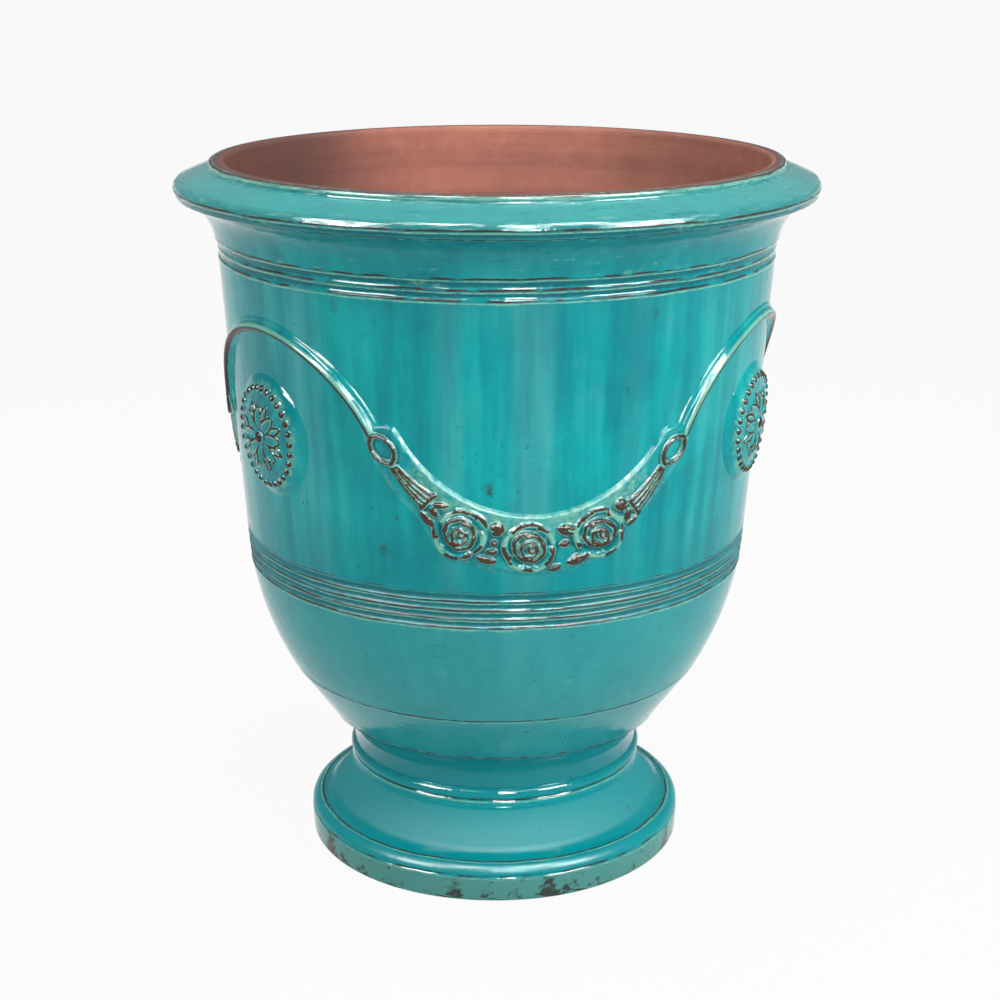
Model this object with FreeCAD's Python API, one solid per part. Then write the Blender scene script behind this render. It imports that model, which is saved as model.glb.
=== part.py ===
"""Garlanded garden vase in glazed earthenware, built from its thrown sections and applied sprigs.

Units are millimetres. +Z is up, the origin is the centre of the ring that the foot stands on,
and -Y faces the viewer, with one garland centred on it.

The vase is thrown in four sections (foot, lower bowl, upper bowl, rim collar). Each section
registers on the one below by a tongue in a rabbet, and the turned lines hide the seams. Moulded
sprigs are then pressed on the wall: three garlands, and between them three medallions, each
under a festoon, a round rib of clay from ring to ring.
"""

import FreeCAD, Part
import functools
import math
import os

from FreeCAD import Rotation, Vector

# Heights of the four thrown sections and of the steps within them
PLINTH_HEIGHT = 26.0
FOOT_BEAD_HEIGHT = 11.5
FLARE_HEIGHT = 49.5
ASTRAGAL_HEIGHT = 11.0
NECK_HEIGHT = 43.0
CONE_HEIGHT = 55.0
SWELL_HEIGHT = 124.6
WALL_HEIGHT = 294.4
FRIEZE_HEIGHT = 11.0
CAVETTO_HEIGHT = 36.0
RIM_BEAD_HEIGHT = 9.0
OVOLO_HEIGHT = 8.5
RIM_TOP_HEIGHT = 9.0
LIP_HEIGHT = 7.0

# Outer radii, from the ground up
FOOT_RADIUS = 191.5
FOOT_BEAD_TOP_RADIUS = 180.5
ASTRAGAL_RADIUS = 148.5
ASTRAGAL_BULGE = 2.5
NECK_RADIUS = 146.5
BOWL_SEAT_RADIUS = 170.0
CONE_TOP_RADIUS = 209.0
BAND_RADIUS = 248.5
COLLAR_RADIUS = 269.5
FRIEZE_RADIUS = 272.3
RIM_UNDER_RADIUS = 304.0
RIM_RADIUS = 310.3
OVOLO_RADIUS = 303.5
LIP_RADIUS = 276.0
MOUTH_RADIUS = 261.0

# How far each turned curve stands off its chord
FLARE_SAG = 8.5
NECK_SAG = 7.0
SWELL_BULGE = 7.0
WALL_BULGE = 0.6
CAVETTO_SAG = 6.5
RIM_BEAD_BULGE = 3.0
OVOLO_BULGE = 2.0
RIM_TOP_BULGE = 0.8
FOOT_BEAD_BULGE = 3.3
STEP_WIDTH = 4.5

# Walls, floor and drain
WALL_THICKNESS = 19.0
CONE_THICKNESS = 20.0
FLOOR_THICKNESS = 24.0
DRAIN_RADIUS = 22.0
FOOT_WALL = 20.0
FOOT_RING_WIDTH = 25.0
FOOT_EDGE = 2.0
LIP_EDGE = 2.5

# Luted joints between the sections
TONGUE_HEIGHT = 9.0
TONGUE_THICKNESS = 9.0
SPIGOT_HEIGHT = 10.0
SPIGOT_WALL = 30.0
SLIP_GAP = 0.4

# Turned lines: single grooves, and bands of hollows that leave narrow ridges between them
GROOVE_RADIUS = 2.0
GROOVE_DEPTH = 1.5
RIDGE_WIDTH = 1.0
HOLLOW_DEPTH = 1.6
FRIEZE_PITCH = 9.4
BAND_PITCH = 8.7
BAND_HOLLOWS_EACH_WAY = 2

# Sprigs: three garlands round the wall, each hung on an arc of this radius, a little askew
SIDES = 3
SPRIG_DEPTH = 14.0
SPRIG_GAP = 0.3
SEAM_TURN = 40.0
GARLAND_RADIUS = 143.0
GARLAND_LOW_HEIGHT = 382.0
GARLAND_TILT = 2.2
PAD_THICKNESS = 3.5
PAD_MARGIN = 3.0

# Roses: degrees along the garland from its middle, and offset outwards across it
ROSES = (("left", -24.5, 0.5), ("middle", 0.0, -1.5), ("right", 25.5, 1.0))
ROSE_RADIUS = 24.5
ROSE_HEART_RADIUS = 3.4
ROSE_HEART_HEIGHT = 9.0

# Petals: the whorls of a rose by radius and height, and the shape of a petal's edge
ROSE_WHORLS = ((ROSE_RADIUS, 4.5), (16.5, 6.6), (9.3, 8.3))
PETAL_COUNT = 5
PETAL_NOTCH = 0.87
PETAL_EDGE = 1.3
PETAL_HOLLOW = 4.2

# Leaves: degrees along the garland, offset outwards across it, length, width, slant in degrees
LEAF_DOME = 5.0
LEAVES = (
    (-37.0, -10.6, 18.0, 6.0, 36.0),
    (-36.5, 5.5, 20.0, 8.0, -14.0),
    (-36.6, -3.5, 14.0, 7.0, -17.0),
    (-13.4, 15.4, 20.0, 8.0, 0.0),
    (-12.4, 6.8, 11.0, 6.0, 12.0),
    (14.7, -13.2, 20.0, 11.0, -25.0),
    (12.8, -0.9, 11.0, 6.0, 0.0),
    (15.9, 16.8, 22.0, 10.0, 4.0),
    (8.4, 20.0, 13.0, 6.0, 12.0),
    (37.0, 1.5, 18.0, 7.0, 38.0),
    (37.2, 9.0, 18.0, 6.0, 6.0),
)

# Buds: degrees along the garland, offset outwards across it, radius
BUDS = ((-13.0, -15.0, 7.0), (-12.4, -1.4, 3.2), (37.4, -10.2, 6.3))
BUD_HEIGHT = 5.5

# Fluted sheaths and the collars that bind them
COLLAR_PLACE = 40.6
COLLAR_OFFSETS = (("left", -1, -7.5), ("right", 1, -0.7))
COLLAR_LENGTH = 22.0
COLLAR_ROUND = 3.0
SHEATH_END_PLACE = 58.0
SHEATH_NARROW = 8.0
SHEATH_WIDE = 18.0
FLUTES = 4
FLUTE_OVERLAP = 1.35

# Almond rings that the festoons spring from
RING_LENGTH = 34.0
RING_WIDTH = 25.0
RING_SIDE = 5.0
RING_TIP = 7.5
RING_OFFSET = -1.75
RING_SLANT = 6.0
RING_HEIGHT = 4.0
RING_ROUND = 1.8

# Festoons over the medallions: round ribs, each with the flange of clay it was pressed on with
FESTOON_CROWN_HEIGHT = 561.0
FESTOON_OFFSET = 4.0
FESTOON_WIDTH = 8.0
FESTOON_HEIGHT = 7.0
FESTOON_ROUND = 3.4
FESTOON_FLANGE_WIDTH = 18.0
FESTOON_FLANGE_HEIGHT = 2.0

# Medallions
MEDALLION_HEIGHT = 459.0
MEDALLION_RADIUS = 58.0
MEDALLION_THICKNESS = 9.0
MEDALLION_ROUND = 7.0
BEAD_OVAL_HALF_WIDTH = 41.0
BEAD_OVAL_HALF_HEIGHT = 46.0
BEAD_COUNT = 30
BEAD_RADIUS = 3.4
BEAD_HEIGHT = 3.0
ROSETTE_PETALS = 8
ROSETTE_PETAL_START = 4.0
ROSETTE_PETAL_LENGTH = 26.0
ROSETTE_PETAL_WIDTH = 14.0
ROSETTE_BOSS_RADIUS = 6.5
ROSETTE_BOSS_HEIGHT = 6.0

# Levels worked out from the section heights
Z_PLINTH = PLINTH_HEIGHT
Z_FOOT_BEAD = Z_PLINTH + FOOT_BEAD_HEIGHT
Z_FLARE = Z_FOOT_BEAD + FLARE_HEIGHT
Z_ASTRAGAL = Z_FLARE + ASTRAGAL_HEIGHT
Z_BOWL_SEAT = Z_ASTRAGAL + NECK_HEIGHT
Z_CONE = Z_BOWL_SEAT + CONE_HEIGHT
Z_BAND = Z_CONE + SWELL_HEIGHT
Z_COLLAR = Z_BAND + WALL_HEIGHT
Z_FRIEZE = Z_COLLAR + FRIEZE_HEIGHT
Z_RIM_UNDER = Z_FRIEZE + CAVETTO_HEIGHT
Z_RIM = Z_RIM_UNDER + RIM_BEAD_HEIGHT
Z_OVOLO = Z_RIM + OVOLO_HEIGHT
Z_RIM_TOP = Z_OVOLO + RIM_TOP_HEIGHT
Z_LIP = Z_RIM_TOP + LIP_HEIGHT

FULL_TURN = 360.0
UP = Vector(0, 0, 1)
AXIS_FOOT = Vector(0, 0, 0)


class Outline:
    """A closed outline in the XZ plane, drawn as lines and arcs, to be turned about Z."""

    def __init__(self, radius, height):
        self.first = Vector(radius, 0, height)
        self.pen = self.first
        self.edges = []

    def line(self, radius, height):
        """Draws a straight edge to the point."""
        end = Vector(radius, 0, height)
        self.edges.append(Part.LineSegment(self.pen, end).toShape())
        self.pen = end
        return self

    def arc(self, radius, height, bulge):
        """Draws an arc to the point that stands off its chord by bulge, to the right of travel."""
        end = Vector(radius, 0, height)
        along = end - self.pen
        right = Vector(along.z, 0, -along.x).normalize()
        middle = (self.pen + end) * 0.5 + right * bulge
        self.edges.append(Part.Arc(self.pen, middle, end).toShape())
        self.pen = end
        return self

    def turned(self):
        """Closes the outline and revolves it about Z."""
        self.line(self.first.x, self.first.z)
        face = Part.Face(Part.Wire(self.edges))
        return face.revolve(AXIS_FOOT, UP, FULL_TURN)


def quarter_bulge(radius):
    """How far a quarter circle stands off its chord."""
    return radius * (1 - math.sqrt(0.5))


def arc_radius(height, low, high, bulge):
    """The radius at a height on the arc from low to high, each (radius, height)."""
    chord = math.hypot(high[0] - low[0], high[1] - low[1])
    curve = (chord * chord / 4 + bulge * bulge) / (2 * bulge)
    mid_r, mid_z = (low[0] + high[0]) / 2, (low[1] + high[1]) / 2
    out_r, out_z = (high[1] - low[1]) / chord, (low[0] - high[0]) / chord
    centre_r = mid_r + out_r * (bulge - curve)
    centre_z = mid_z + out_z * (bulge - curve)
    return centre_r + math.sqrt(curve * curve - (height - centre_z) ** 2)


def wall_radius(height):
    """The outer radius of the upper bowl at a height."""
    return arc_radius(height, (BAND_RADIUS, Z_BAND), (COLLAR_RADIUS, Z_COLLAR), WALL_BULGE)


def swell_radius(height):
    """The outer radius of the lower bowl's swell at a height."""
    return arc_radius(height, (CONE_TOP_RADIUS, Z_CONE), (BAND_RADIUS, Z_BAND), SWELL_BULGE)


def groove(height, surface_radius):
    """The ring that a rounded turning tool cuts into a surface of that radius."""
    ring_radius = surface_radius + GROOVE_RADIUS - GROOVE_DEPTH
    return Part.makeTorus(ring_radius, GROOVE_RADIUS, Vector(0, 0, height))


def hollow(height, pitch, surface_radius):
    """The ring that cuts a shallow hollow, as wide as its pitch less the ridge beside it."""
    half = (pitch - RIDGE_WIDTH) / 2
    curve = (half * half + HOLLOW_DEPTH * HOLLOW_DEPTH) / (2 * HOLLOW_DEPTH)
    return Part.makeTorus(surface_radius + curve - HOLLOW_DEPTH, curve, Vector(0, 0, height))


def band_hollows():
    """The hollows of the band, whose middle ridge hides the seam between the two bowl sections."""
    cutters = []
    for number in range(BAND_HOLLOWS_EACH_WAY):
        rise = (number + 0.5) * BAND_PITCH
        cutters.append(hollow(Z_BAND + rise, BAND_PITCH, wall_radius(Z_BAND + rise)))
        cutters.append(hollow(Z_BAND - rise, BAND_PITCH, swell_radius(Z_BAND - rise)))
    return cutters


def frieze_hollows():
    """The hollows above and below the ridge that hides the collar's seam."""
    rise = FRIEZE_PITCH / 2
    above = COLLAR_RADIUS + rise * (FRIEZE_RADIUS - COLLAR_RADIUS) / FRIEZE_HEIGHT
    return [
        hollow(Z_COLLAR - rise, FRIEZE_PITCH, wall_radius(Z_COLLAR - rise)),
        hollow(Z_COLLAR + rise, FRIEZE_PITCH, above),
    ]


def foot():
    """The hollow pedestal: plinth, bead, flare, astragal and neck."""
    bore = NECK_RADIUS - FOOT_WALL
    step_in = FOOT_BEAD_TOP_RADIUS - STEP_WIDTH
    outline = Outline(FOOT_RADIUS - FOOT_RING_WIDTH, 0)
    outline.line(FOOT_RADIUS - FOOT_EDGE, 0).line(FOOT_RADIUS, FOOT_EDGE).line(FOOT_RADIUS, Z_PLINTH)
    outline.arc(FOOT_BEAD_TOP_RADIUS, Z_FOOT_BEAD, FOOT_BEAD_BULGE).line(step_in, Z_FOOT_BEAD)
    outline.arc(ASTRAGAL_RADIUS, Z_FLARE, -FLARE_SAG)
    outline.arc(NECK_RADIUS, Z_ASTRAGAL, ASTRAGAL_BULGE)
    outline.arc(BOWL_SEAT_RADIUS, Z_BOWL_SEAT, -NECK_SAG)
    outline.line(bore, Z_BOWL_SEAT).line(bore, Z_FLARE)
    lines = [groove(Z_PLINTH, FOOT_RADIUS), groove(Z_FLARE, ASTRAGAL_RADIUS)]
    return outline.turned().cut(lines)


def lower_bowl():
    """The bottom of the bowl: floor with its drain, cone and swell, and the tongue on top."""
    spigot = NECK_RADIUS - FOOT_WALL - SLIP_GAP
    lean = math.hypot(CONE_TOP_RADIUS - BOWL_SEAT_RADIUS, CONE_HEIGHT)
    inset_r = CONE_THICKNESS * CONE_HEIGHT / lean
    inset_z = CONE_THICKNESS * (CONE_TOP_RADIUS - BOWL_SEAT_RADIUS) / lean
    floor_top = Z_BOWL_SEAT + FLOOR_THICKNESS
    slope = (CONE_TOP_RADIUS - BOWL_SEAT_RADIUS) / CONE_HEIGHT
    floor_radius = BOWL_SEAT_RADIUS - inset_r + slope * (FLOOR_THICKNESS - inset_z)
    inner = BAND_RADIUS - WALL_THICKNESS
    tongue = inner + TONGUE_THICKNESS
    outline = Outline(DRAIN_RADIUS, floor_top)
    outline.line(DRAIN_RADIUS, Z_BOWL_SEAT).line(spigot - SPIGOT_WALL, Z_BOWL_SEAT)
    outline.line(spigot - SPIGOT_WALL, Z_BOWL_SEAT - SPIGOT_HEIGHT)
    outline.line(spigot, Z_BOWL_SEAT - SPIGOT_HEIGHT).line(spigot, Z_BOWL_SEAT)
    outline.line(BOWL_SEAT_RADIUS, Z_BOWL_SEAT).line(CONE_TOP_RADIUS, Z_CONE)
    outline.arc(BAND_RADIUS, Z_BAND, SWELL_BULGE).line(tongue, Z_BAND)
    outline.line(tongue, Z_BAND + TONGUE_HEIGHT).line(inner, Z_BAND + TONGUE_HEIGHT).line(inner, Z_BAND)
    outline.arc(CONE_TOP_RADIUS - inset_r, Z_CONE + inset_z, -SWELL_BULGE)
    outline.line(floor_radius, floor_top)
    lines = [groove(Z_CONE, CONE_TOP_RADIUS)] + band_hollows()
    return outline.turned().cut(lines)


def upper_bowl():
    """The tall wall that carries the sprigs, with a rabbet below and a tongue above."""
    low, high = BAND_RADIUS - WALL_THICKNESS, COLLAR_RADIUS - WALL_THICKNESS
    rabbet = low + TONGUE_THICKNESS + SLIP_GAP
    rabbet_top = Z_BAND + TONGUE_HEIGHT + SLIP_GAP
    inner_rise = (high - low) / WALL_HEIGHT
    tongue = high + TONGUE_THICKNESS
    outline = Outline(rabbet, Z_BAND)
    outline.line(BAND_RADIUS, Z_BAND).arc(COLLAR_RADIUS, Z_COLLAR, WALL_BULGE).line(tongue, Z_COLLAR)
    outline.line(tongue, Z_COLLAR + TONGUE_HEIGHT).line(high, Z_COLLAR + TONGUE_HEIGHT).line(high, Z_COLLAR)
    outline.line(low + inner_rise * (rabbet_top - Z_BAND), rabbet_top).line(rabbet, rabbet_top)
    return outline.turned().cut(band_hollows() + frieze_hollows())


def rim_collar():
    """The collar: frieze, cavetto, bead, ovolo and upstanding lip."""
    inner = COLLAR_RADIUS - WALL_THICKNESS
    rabbet = inner + TONGUE_THICKNESS + SLIP_GAP
    rabbet_top = Z_COLLAR + TONGUE_HEIGHT + SLIP_GAP
    flare = (MOUTH_RADIUS - inner) / (Z_LIP - Z_COLLAR)
    outline = Outline(rabbet, Z_COLLAR)
    outline.line(COLLAR_RADIUS, Z_COLLAR).line(FRIEZE_RADIUS, Z_FRIEZE)
    outline.arc(RIM_UNDER_RADIUS, Z_RIM_UNDER, -CAVETTO_SAG)
    outline.arc(RIM_RADIUS, Z_RIM, RIM_BEAD_BULGE).arc(OVOLO_RADIUS, Z_OVOLO, OVOLO_BULGE)
    outline.arc(LIP_RADIUS, Z_RIM_TOP, RIM_TOP_BULGE)
    outline.line(LIP_RADIUS, Z_LIP - LIP_EDGE).line(LIP_RADIUS - LIP_EDGE, Z_LIP)
    outline.line(MOUTH_RADIUS + LIP_EDGE, Z_LIP).line(MOUTH_RADIUS, Z_LIP - LIP_EDGE)
    outline.line(inner + flare * (rabbet_top - Z_COLLAR), rabbet_top).line(rabbet, rabbet_top)
    return outline.turned().cut(frieze_hollows() + [groove(Z_RIM, RIM_RADIUS)])


@functools.lru_cache(maxsize=None)
def wall_core(height):
    """Everything inside the upper bowl's outer face, grown outwards by a height."""
    outline = Outline(0, Z_BAND)
    outline.line(BAND_RADIUS + height, Z_BAND)
    outline.arc(COLLAR_RADIUS + height, Z_COLLAR, WALL_BULGE).line(0, Z_COLLAR)
    return outline.turned()


def pressed_on(block, seat, top):
    """The part of a block between two cores: a sprig of even thickness that follows the wall."""
    return block.common(wall_core(top)).cut(wall_core(seat))


def elevation_block(edges):
    """A block with the outline drawn in the front elevation, running from the viewer to the axis."""
    near = -(RIM_RADIUS + SPRIG_DEPTH)
    face = Part.Face(Part.Wire(edges))
    face.translate(Vector(0, near, 0))
    return face.extrude(Vector(0, -near, 0))


def rounded_top(shape, top, size):
    """The shape with the edges of its outer face rounded, where that face is the core's own."""
    edges = []
    for edge in shape.Edges:
        spots = [edge.valueAt(edge.FirstParameter + share * (edge.LastParameter - edge.FirstParameter))
                 for share in (0.2, 0.5, 0.8)]
        proud = [math.hypot(spot.x, spot.y) - wall_radius(spot.z) for spot in spots]
        if min(proud) > top - SPRIG_GAP:
            edges.append(edge)
    return shape.makeFillet(size, edges)


def wall_frame(x, z, height):
    """The placement of a sprig in front elevation: its Z points out of the wall, its Y up."""
    radius = wall_radius(z) + height
    angle = math.asin(x / radius)
    out = Vector(math.sin(angle), -math.cos(angle), 0)
    across = Vector(math.cos(angle), math.sin(angle), 0)
    spot = Vector(x, out.y * radius, z)
    return FreeCAD.Placement(spot, Rotation(across, UP, out, "ZXY"))


def placed(shape, x, z, height, turn=0.0):
    """The shape turned in its own plane and set on the wall at a front elevation point."""
    copy = shape.copy()
    spin = FreeCAD.Placement(Vector(0, 0, 0), Rotation(UP, turn))
    copy.Placement = wall_frame(x, z, height).multiply(spin).multiply(shape.Placement)
    return copy


def turned_about(shape, angle):
    """A copy of the shape turned about the vase's axis."""
    copy = shape.copy()
    copy.rotate(AXIS_FOOT, UP, angle)
    return copy


def garland_turn(place):
    """The direction of the garland at an angle along it, in degrees from level."""
    return place - GARLAND_TILT


def along_garland(place, across=0.0):
    """The front elevation point at an angle along the garland, offset outwards across it."""
    tilt, angle = math.radians(GARLAND_TILT), math.radians(garland_turn(place))
    reach = GARLAND_RADIUS + across
    x = GARLAND_RADIUS * math.sin(tilt) + reach * math.sin(angle)
    return x, GARLAND_LOW_HEIGHT + GARLAND_RADIUS * math.cos(tilt) - reach * math.cos(angle)


def ring_reach():
    """The angle along the garland from a ring's centre to the outside of its tip."""
    return math.degrees((RING_LENGTH / 2 + SPRIG_GAP) / GARLAND_RADIUS)


def ring_place():
    """Where a ring's centre lies along the garland, beyond the sheath's narrow end."""
    return SHEATH_END_PLACE + ring_reach()


def ring_foot_offset():
    """Where a ring's foot lies across the garland, because the ring leans outwards at its top."""
    return RING_OFFSET - RING_LENGTH / 2 * math.sin(math.radians(RING_SLANT))


def garland_pad():
    """The crescent that the flowers are pressed on: broad under the roses, narrow to the rings."""
    deep = ROSE_RADIUS + PAD_MARGIN
    outer = RING_WIDTH / 2 + RING_OFFSET + PAD_MARGIN
    inner = RING_OFFSET - RING_WIDTH / 2 - PAD_MARGIN
    end = ring_place() + ring_reach()
    waist = COLLAR_PLACE - math.degrees(COLLAR_ROUND / GARLAND_RADIUS)
    swell = max(place for _, place, _ in ROSES) + math.degrees(PAD_MARGIN / GARLAND_RADIUS)

    def spot(place, across):
        """A point of the outline in front elevation."""
        x, z = along_garland(place, across)
        return Vector(x, 0, z)

    edges = [
        Part.Arc(spot(-swell, deep), spot(0, deep), spot(swell, deep)).toShape(),
        Part.LineSegment(spot(swell, deep), spot(waist, outer)).toShape(),
        Part.LineSegment(spot(waist, outer), spot(end, outer)).toShape(),
        Part.LineSegment(spot(end, outer), spot(end, inner)).toShape(),
        Part.Arc(spot(end, inner), spot(0, -deep), spot(-end, inner)).toShape(),
        Part.LineSegment(spot(-end, inner), spot(-end, outer)).toShape(),
        Part.LineSegment(spot(-end, outer), spot(-waist, outer)).toShape(),
        Part.LineSegment(spot(-waist, outer), spot(-swell, deep)).toShape(),
    ]
    return pressed_on(elevation_block(edges), 0, PAD_THICKNESS)


def stud(radius, height):
    """A domed stud that stands a height out of the wall, with a stem to be trimmed to its seat."""
    shoulder = height / 4
    crown = height - shoulder
    chord = math.hypot(radius, crown)
    curve = (radius * radius + crown * crown) / (2 * crown)
    outline = Outline(0, -SPRIG_DEPTH)
    outline.line(radius, -SPRIG_DEPTH).line(radius, shoulder)
    outline.arc(0, height, curve - math.sqrt(curve * curve - chord * chord / 4))
    return outline.turned()


def petal_outline(radius, turn):
    """The scalloped face of one whorl of petals, sunk below the wall."""
    step = 2 * math.pi / PETAL_COUNT
    notch = radius * PETAL_NOTCH

    def spot(reach, number):
        """A point of the scalloped outline, a number of petals round it."""
        angle = math.radians(turn) + number * step
        return Vector(reach * math.cos(angle), reach * math.sin(angle), -SPRIG_DEPTH)

    edges = []
    for number in range(PETAL_COUNT):
        ends = spot(notch, number - 0.5), spot(notch, number + 0.5)
        edges.append(Part.Arc(ends[0], spot(radius, number), ends[1]).toShape())
    return Part.Face(Part.Wire(edges))


def petal_tier(radius, height, turn):
    """One whorl of petals: a scalloped block, hollowed so that the petal edges stand highest."""
    block = petal_outline(radius, turn).extrude(Vector(0, 0, SPRIG_DEPTH + height))
    mouth = radius * PETAL_NOTCH - PETAL_EDGE
    bowl = (mouth * mouth + PETAL_HOLLOW * PETAL_HOLLOW) / (2 * PETAL_HOLLOW)
    return block.cut(Part.makeSphere(bowl, Vector(0, 0, height + bowl - PETAL_HOLLOW)))


@functools.lru_cache(maxsize=None)
def rose():
    """A full-blown rose: whorls of hollowed petals, each higher than the last, round a heart."""
    step = FULL_TURN / PETAL_COUNT / 2
    whorls = [petal_tier(radius, height, number * step)
              for number, (radius, height) in enumerate(ROSE_WHORLS)]
    heart = stud(ROSE_HEART_RADIUS, ROSE_HEART_HEIGHT)
    return whorls[0].multiFuse(whorls[1:] + [heart])


def placed_rose(place, across):
    """A rose set on the garland's pad."""
    x, z = along_garland(place, across)
    return placed(rose(), x, z, PAD_THICKNESS, garland_turn(place)).cut(wall_core(PAD_THICKNESS))


def rose_room(place, across):
    """The block that a rose takes up, which leaves and buds are tucked against."""
    x, z = along_garland(place, across)
    block = petal_outline(ROSE_RADIUS, 0).extrude(Vector(0, 0, 2 * SPRIG_DEPTH))
    return placed(block, x, z, PAD_THICKNESS, garland_turn(place))


def almond(length, width):
    """A block with the outline of an almond, set in its own plane, to be trimmed to the wall."""
    tips = Vector(-length / 2, 0, -SPRIG_DEPTH), Vector(length / 2, 0, -SPRIG_DEPTH)
    edges = [
        Part.Arc(tips[0], Vector(0, -width / 2, -SPRIG_DEPTH), tips[1]).toShape(),
        Part.Arc(tips[1], Vector(0, width / 2, -SPRIG_DEPTH), tips[0]).toShape(),
    ]
    return Part.Face(Part.Wire(edges)).extrude(Vector(0, 0, 2 * SPRIG_DEPTH))


def leaf(length, width):
    """A pointed leaf: an almond that is domed along its length."""
    ball_radius = (length * length / 4 + LEAF_DOME * LEAF_DOME) / (2 * LEAF_DOME)
    return almond(length, width).common(Part.makeSphere(ball_radius, Vector(0, 0, LEAF_DOME - ball_radius)))


def garland_leaves(neighbours):
    """The leaves, each tucked against the roses and collars it meets."""
    leaves = []
    for place, across, length, width, slant in LEAVES:
        x, z = along_garland(place, across)
        shape = placed(leaf(length, width), x, z, PAD_THICKNESS, garland_turn(place) + slant)
        leaves.append(shape.cut(wall_core(PAD_THICKNESS)).cut(neighbours + leaves))
    return leaves


def garland_buds(neighbours):
    """The round buds, each tucked against what it meets."""
    buds = []
    for place, across, radius in BUDS:
        x, z = along_garland(place, across)
        bud = placed(stud(radius, BUD_HEIGHT), x, z, PAD_THICKNESS, SEAM_TURN)
        buds.append(bud.cut(wall_core(PAD_THICKNESS)).cut(neighbours))
    return buds


def sheath(side, offset):
    """The fluted sheath: tapered flutes that fan from the ring's foot to the collar."""
    head_place = COLLAR_PLACE + math.degrees((COLLAR_ROUND + SPRIG_GAP) / GARLAND_RADIUS)
    head_radius = SHEATH_WIDE / FLUTES / 2 * FLUTE_OVERLAP
    foot_radius = SHEATH_NARROW / FLUTES / 2 * FLUTE_OVERLAP
    flutes = []
    for number in range(FLUTES):
        across = (number + 0.5) / FLUTES - 0.5
        x, z = along_garland(side * SHEATH_END_PLACE, ring_foot_offset() + across * SHEATH_NARROW)
        foot_point = wall_frame(x, z, PAD_THICKNESS).Base
        x, z = along_garland(side * head_place, offset + across * SHEATH_WIDE)
        head_point = wall_frame(x, z, PAD_THICKNESS).Base
        run = head_point - foot_point
        flutes.append(Part.makeCone(foot_radius, head_radius, run.Length, foot_point, run))
    return flutes[0].multiFuse(flutes[1:]).cut(wall_core(PAD_THICKNESS))


def sheath_collar(side, offset):
    """The collar across the sheath's mouth: a round bar with ball ends."""
    half = COLLAR_LENGTH / 2
    outline = Outline(0, -half)
    outline.arc(COLLAR_ROUND, COLLAR_ROUND - half, quarter_bulge(COLLAR_ROUND))
    outline.line(COLLAR_ROUND, half - COLLAR_ROUND)
    outline.arc(0, half, quarter_bulge(COLLAR_ROUND))
    bar = outline.turned()
    bar.rotate(Vector(0, 0, 0), Vector(1, 0, 0), 90)
    place = side * COLLAR_PLACE
    x, z = along_garland(place, offset)
    return placed(bar, x, z, PAD_THICKNESS, garland_turn(place)).cut(wall_core(PAD_THICKNESS))


def festoon_ring(side):
    """The almond ring that a festoon springs from."""
    inner_length = RING_LENGTH - 2 * RING_TIP
    inner_width = RING_WIDTH - 2 * RING_SIDE
    loop = almond(RING_LENGTH, RING_WIDTH).cut(almond(inner_length, inner_width))
    place = side * ring_place()
    x, z = along_garland(place, RING_OFFSET)
    top = PAD_THICKNESS + RING_HEIGHT
    turn = garland_turn(place) - side * RING_SLANT
    ring = pressed_on(placed(loop, x, z, PAD_THICKNESS, turn), PAD_THICKNESS, top)
    return rounded_top(ring, top, RING_ROUND)


def festoon_end(side):
    """The point of a festoon's own elevation where it meets the tip of a neighbour's ring."""
    x, z = along_garland(-side * (ring_place() + ring_reach()), FESTOON_OFFSET)
    radius = wall_radius(z)
    angle = math.asin(x / radius) + side * math.radians(FULL_TURN / SIDES / 2)
    return Vector(radius * math.sin(angle), 0, z)


def festoon_strip(width, top):
    """A strip of even width along the festoon's arch, whose ends run on under the rings' tips."""
    left, right = festoon_end(-1), festoon_end(1)
    crown = Vector((left.x + right.x) / 2, 0, FESTOON_CROWN_HEIGHT)
    arch = Part.Arc(left, crown, right).toShape().Curve
    tuck = math.degrees(RING_TIP / arch.Radius)

    def spot(point, turn, across):
        """The point moved along the arch by an angle and outwards across it."""
        ray = Rotation(Vector(0, 1, 0), turn).multVec(point - arch.Center)
        return arch.Center + ray * ((arch.Radius + across) / arch.Radius)

    half = width / 2
    over = [spot(left, -tuck, half), spot(crown, 0, half), spot(right, tuck, half)]
    under = [spot(right, tuck, -half), spot(crown, 0, -half), spot(left, -tuck, -half)]
    edges = [
        Part.Arc(*over).toShape(),
        Part.LineSegment(over[2], under[0]).toShape(),
        Part.Arc(*under).toShape(),
        Part.LineSegment(under[2], over[0]).toShape(),
    ]
    return pressed_on(elevation_block(edges), 0, top)


def festoon(garland_pieces):
    """The rib from ring to ring over a medallion, stopped by the garlands at both ends."""
    flange = festoon_strip(FESTOON_FLANGE_WIDTH, FESTOON_FLANGE_HEIGHT)
    ridge = rounded_top(festoon_strip(FESTOON_WIDTH, FESTOON_HEIGHT), FESTOON_HEIGHT, FESTOON_ROUND)
    taken = []
    for angle in (-FULL_TURN / SIDES / 2, FULL_TURN / SIDES / 2):
        taken.extend(turned_about(piece, angle) for piece in garland_pieces)
    return flange.fuse(ridge).cut(taken)


def medallion_pad():
    """The round cushion that the medallion's relief stands on."""
    near = Vector(0, -(RIM_RADIUS + SPRIG_DEPTH), MEDALLION_HEIGHT)
    block = Part.makeCylinder(MEDALLION_RADIUS, -near.y, near, Vector(0, 1, 0))
    pad = pressed_on(block, 0, MEDALLION_THICKNESS)
    return rounded_top(pad, MEDALLION_THICKNESS, MEDALLION_ROUND)


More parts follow.
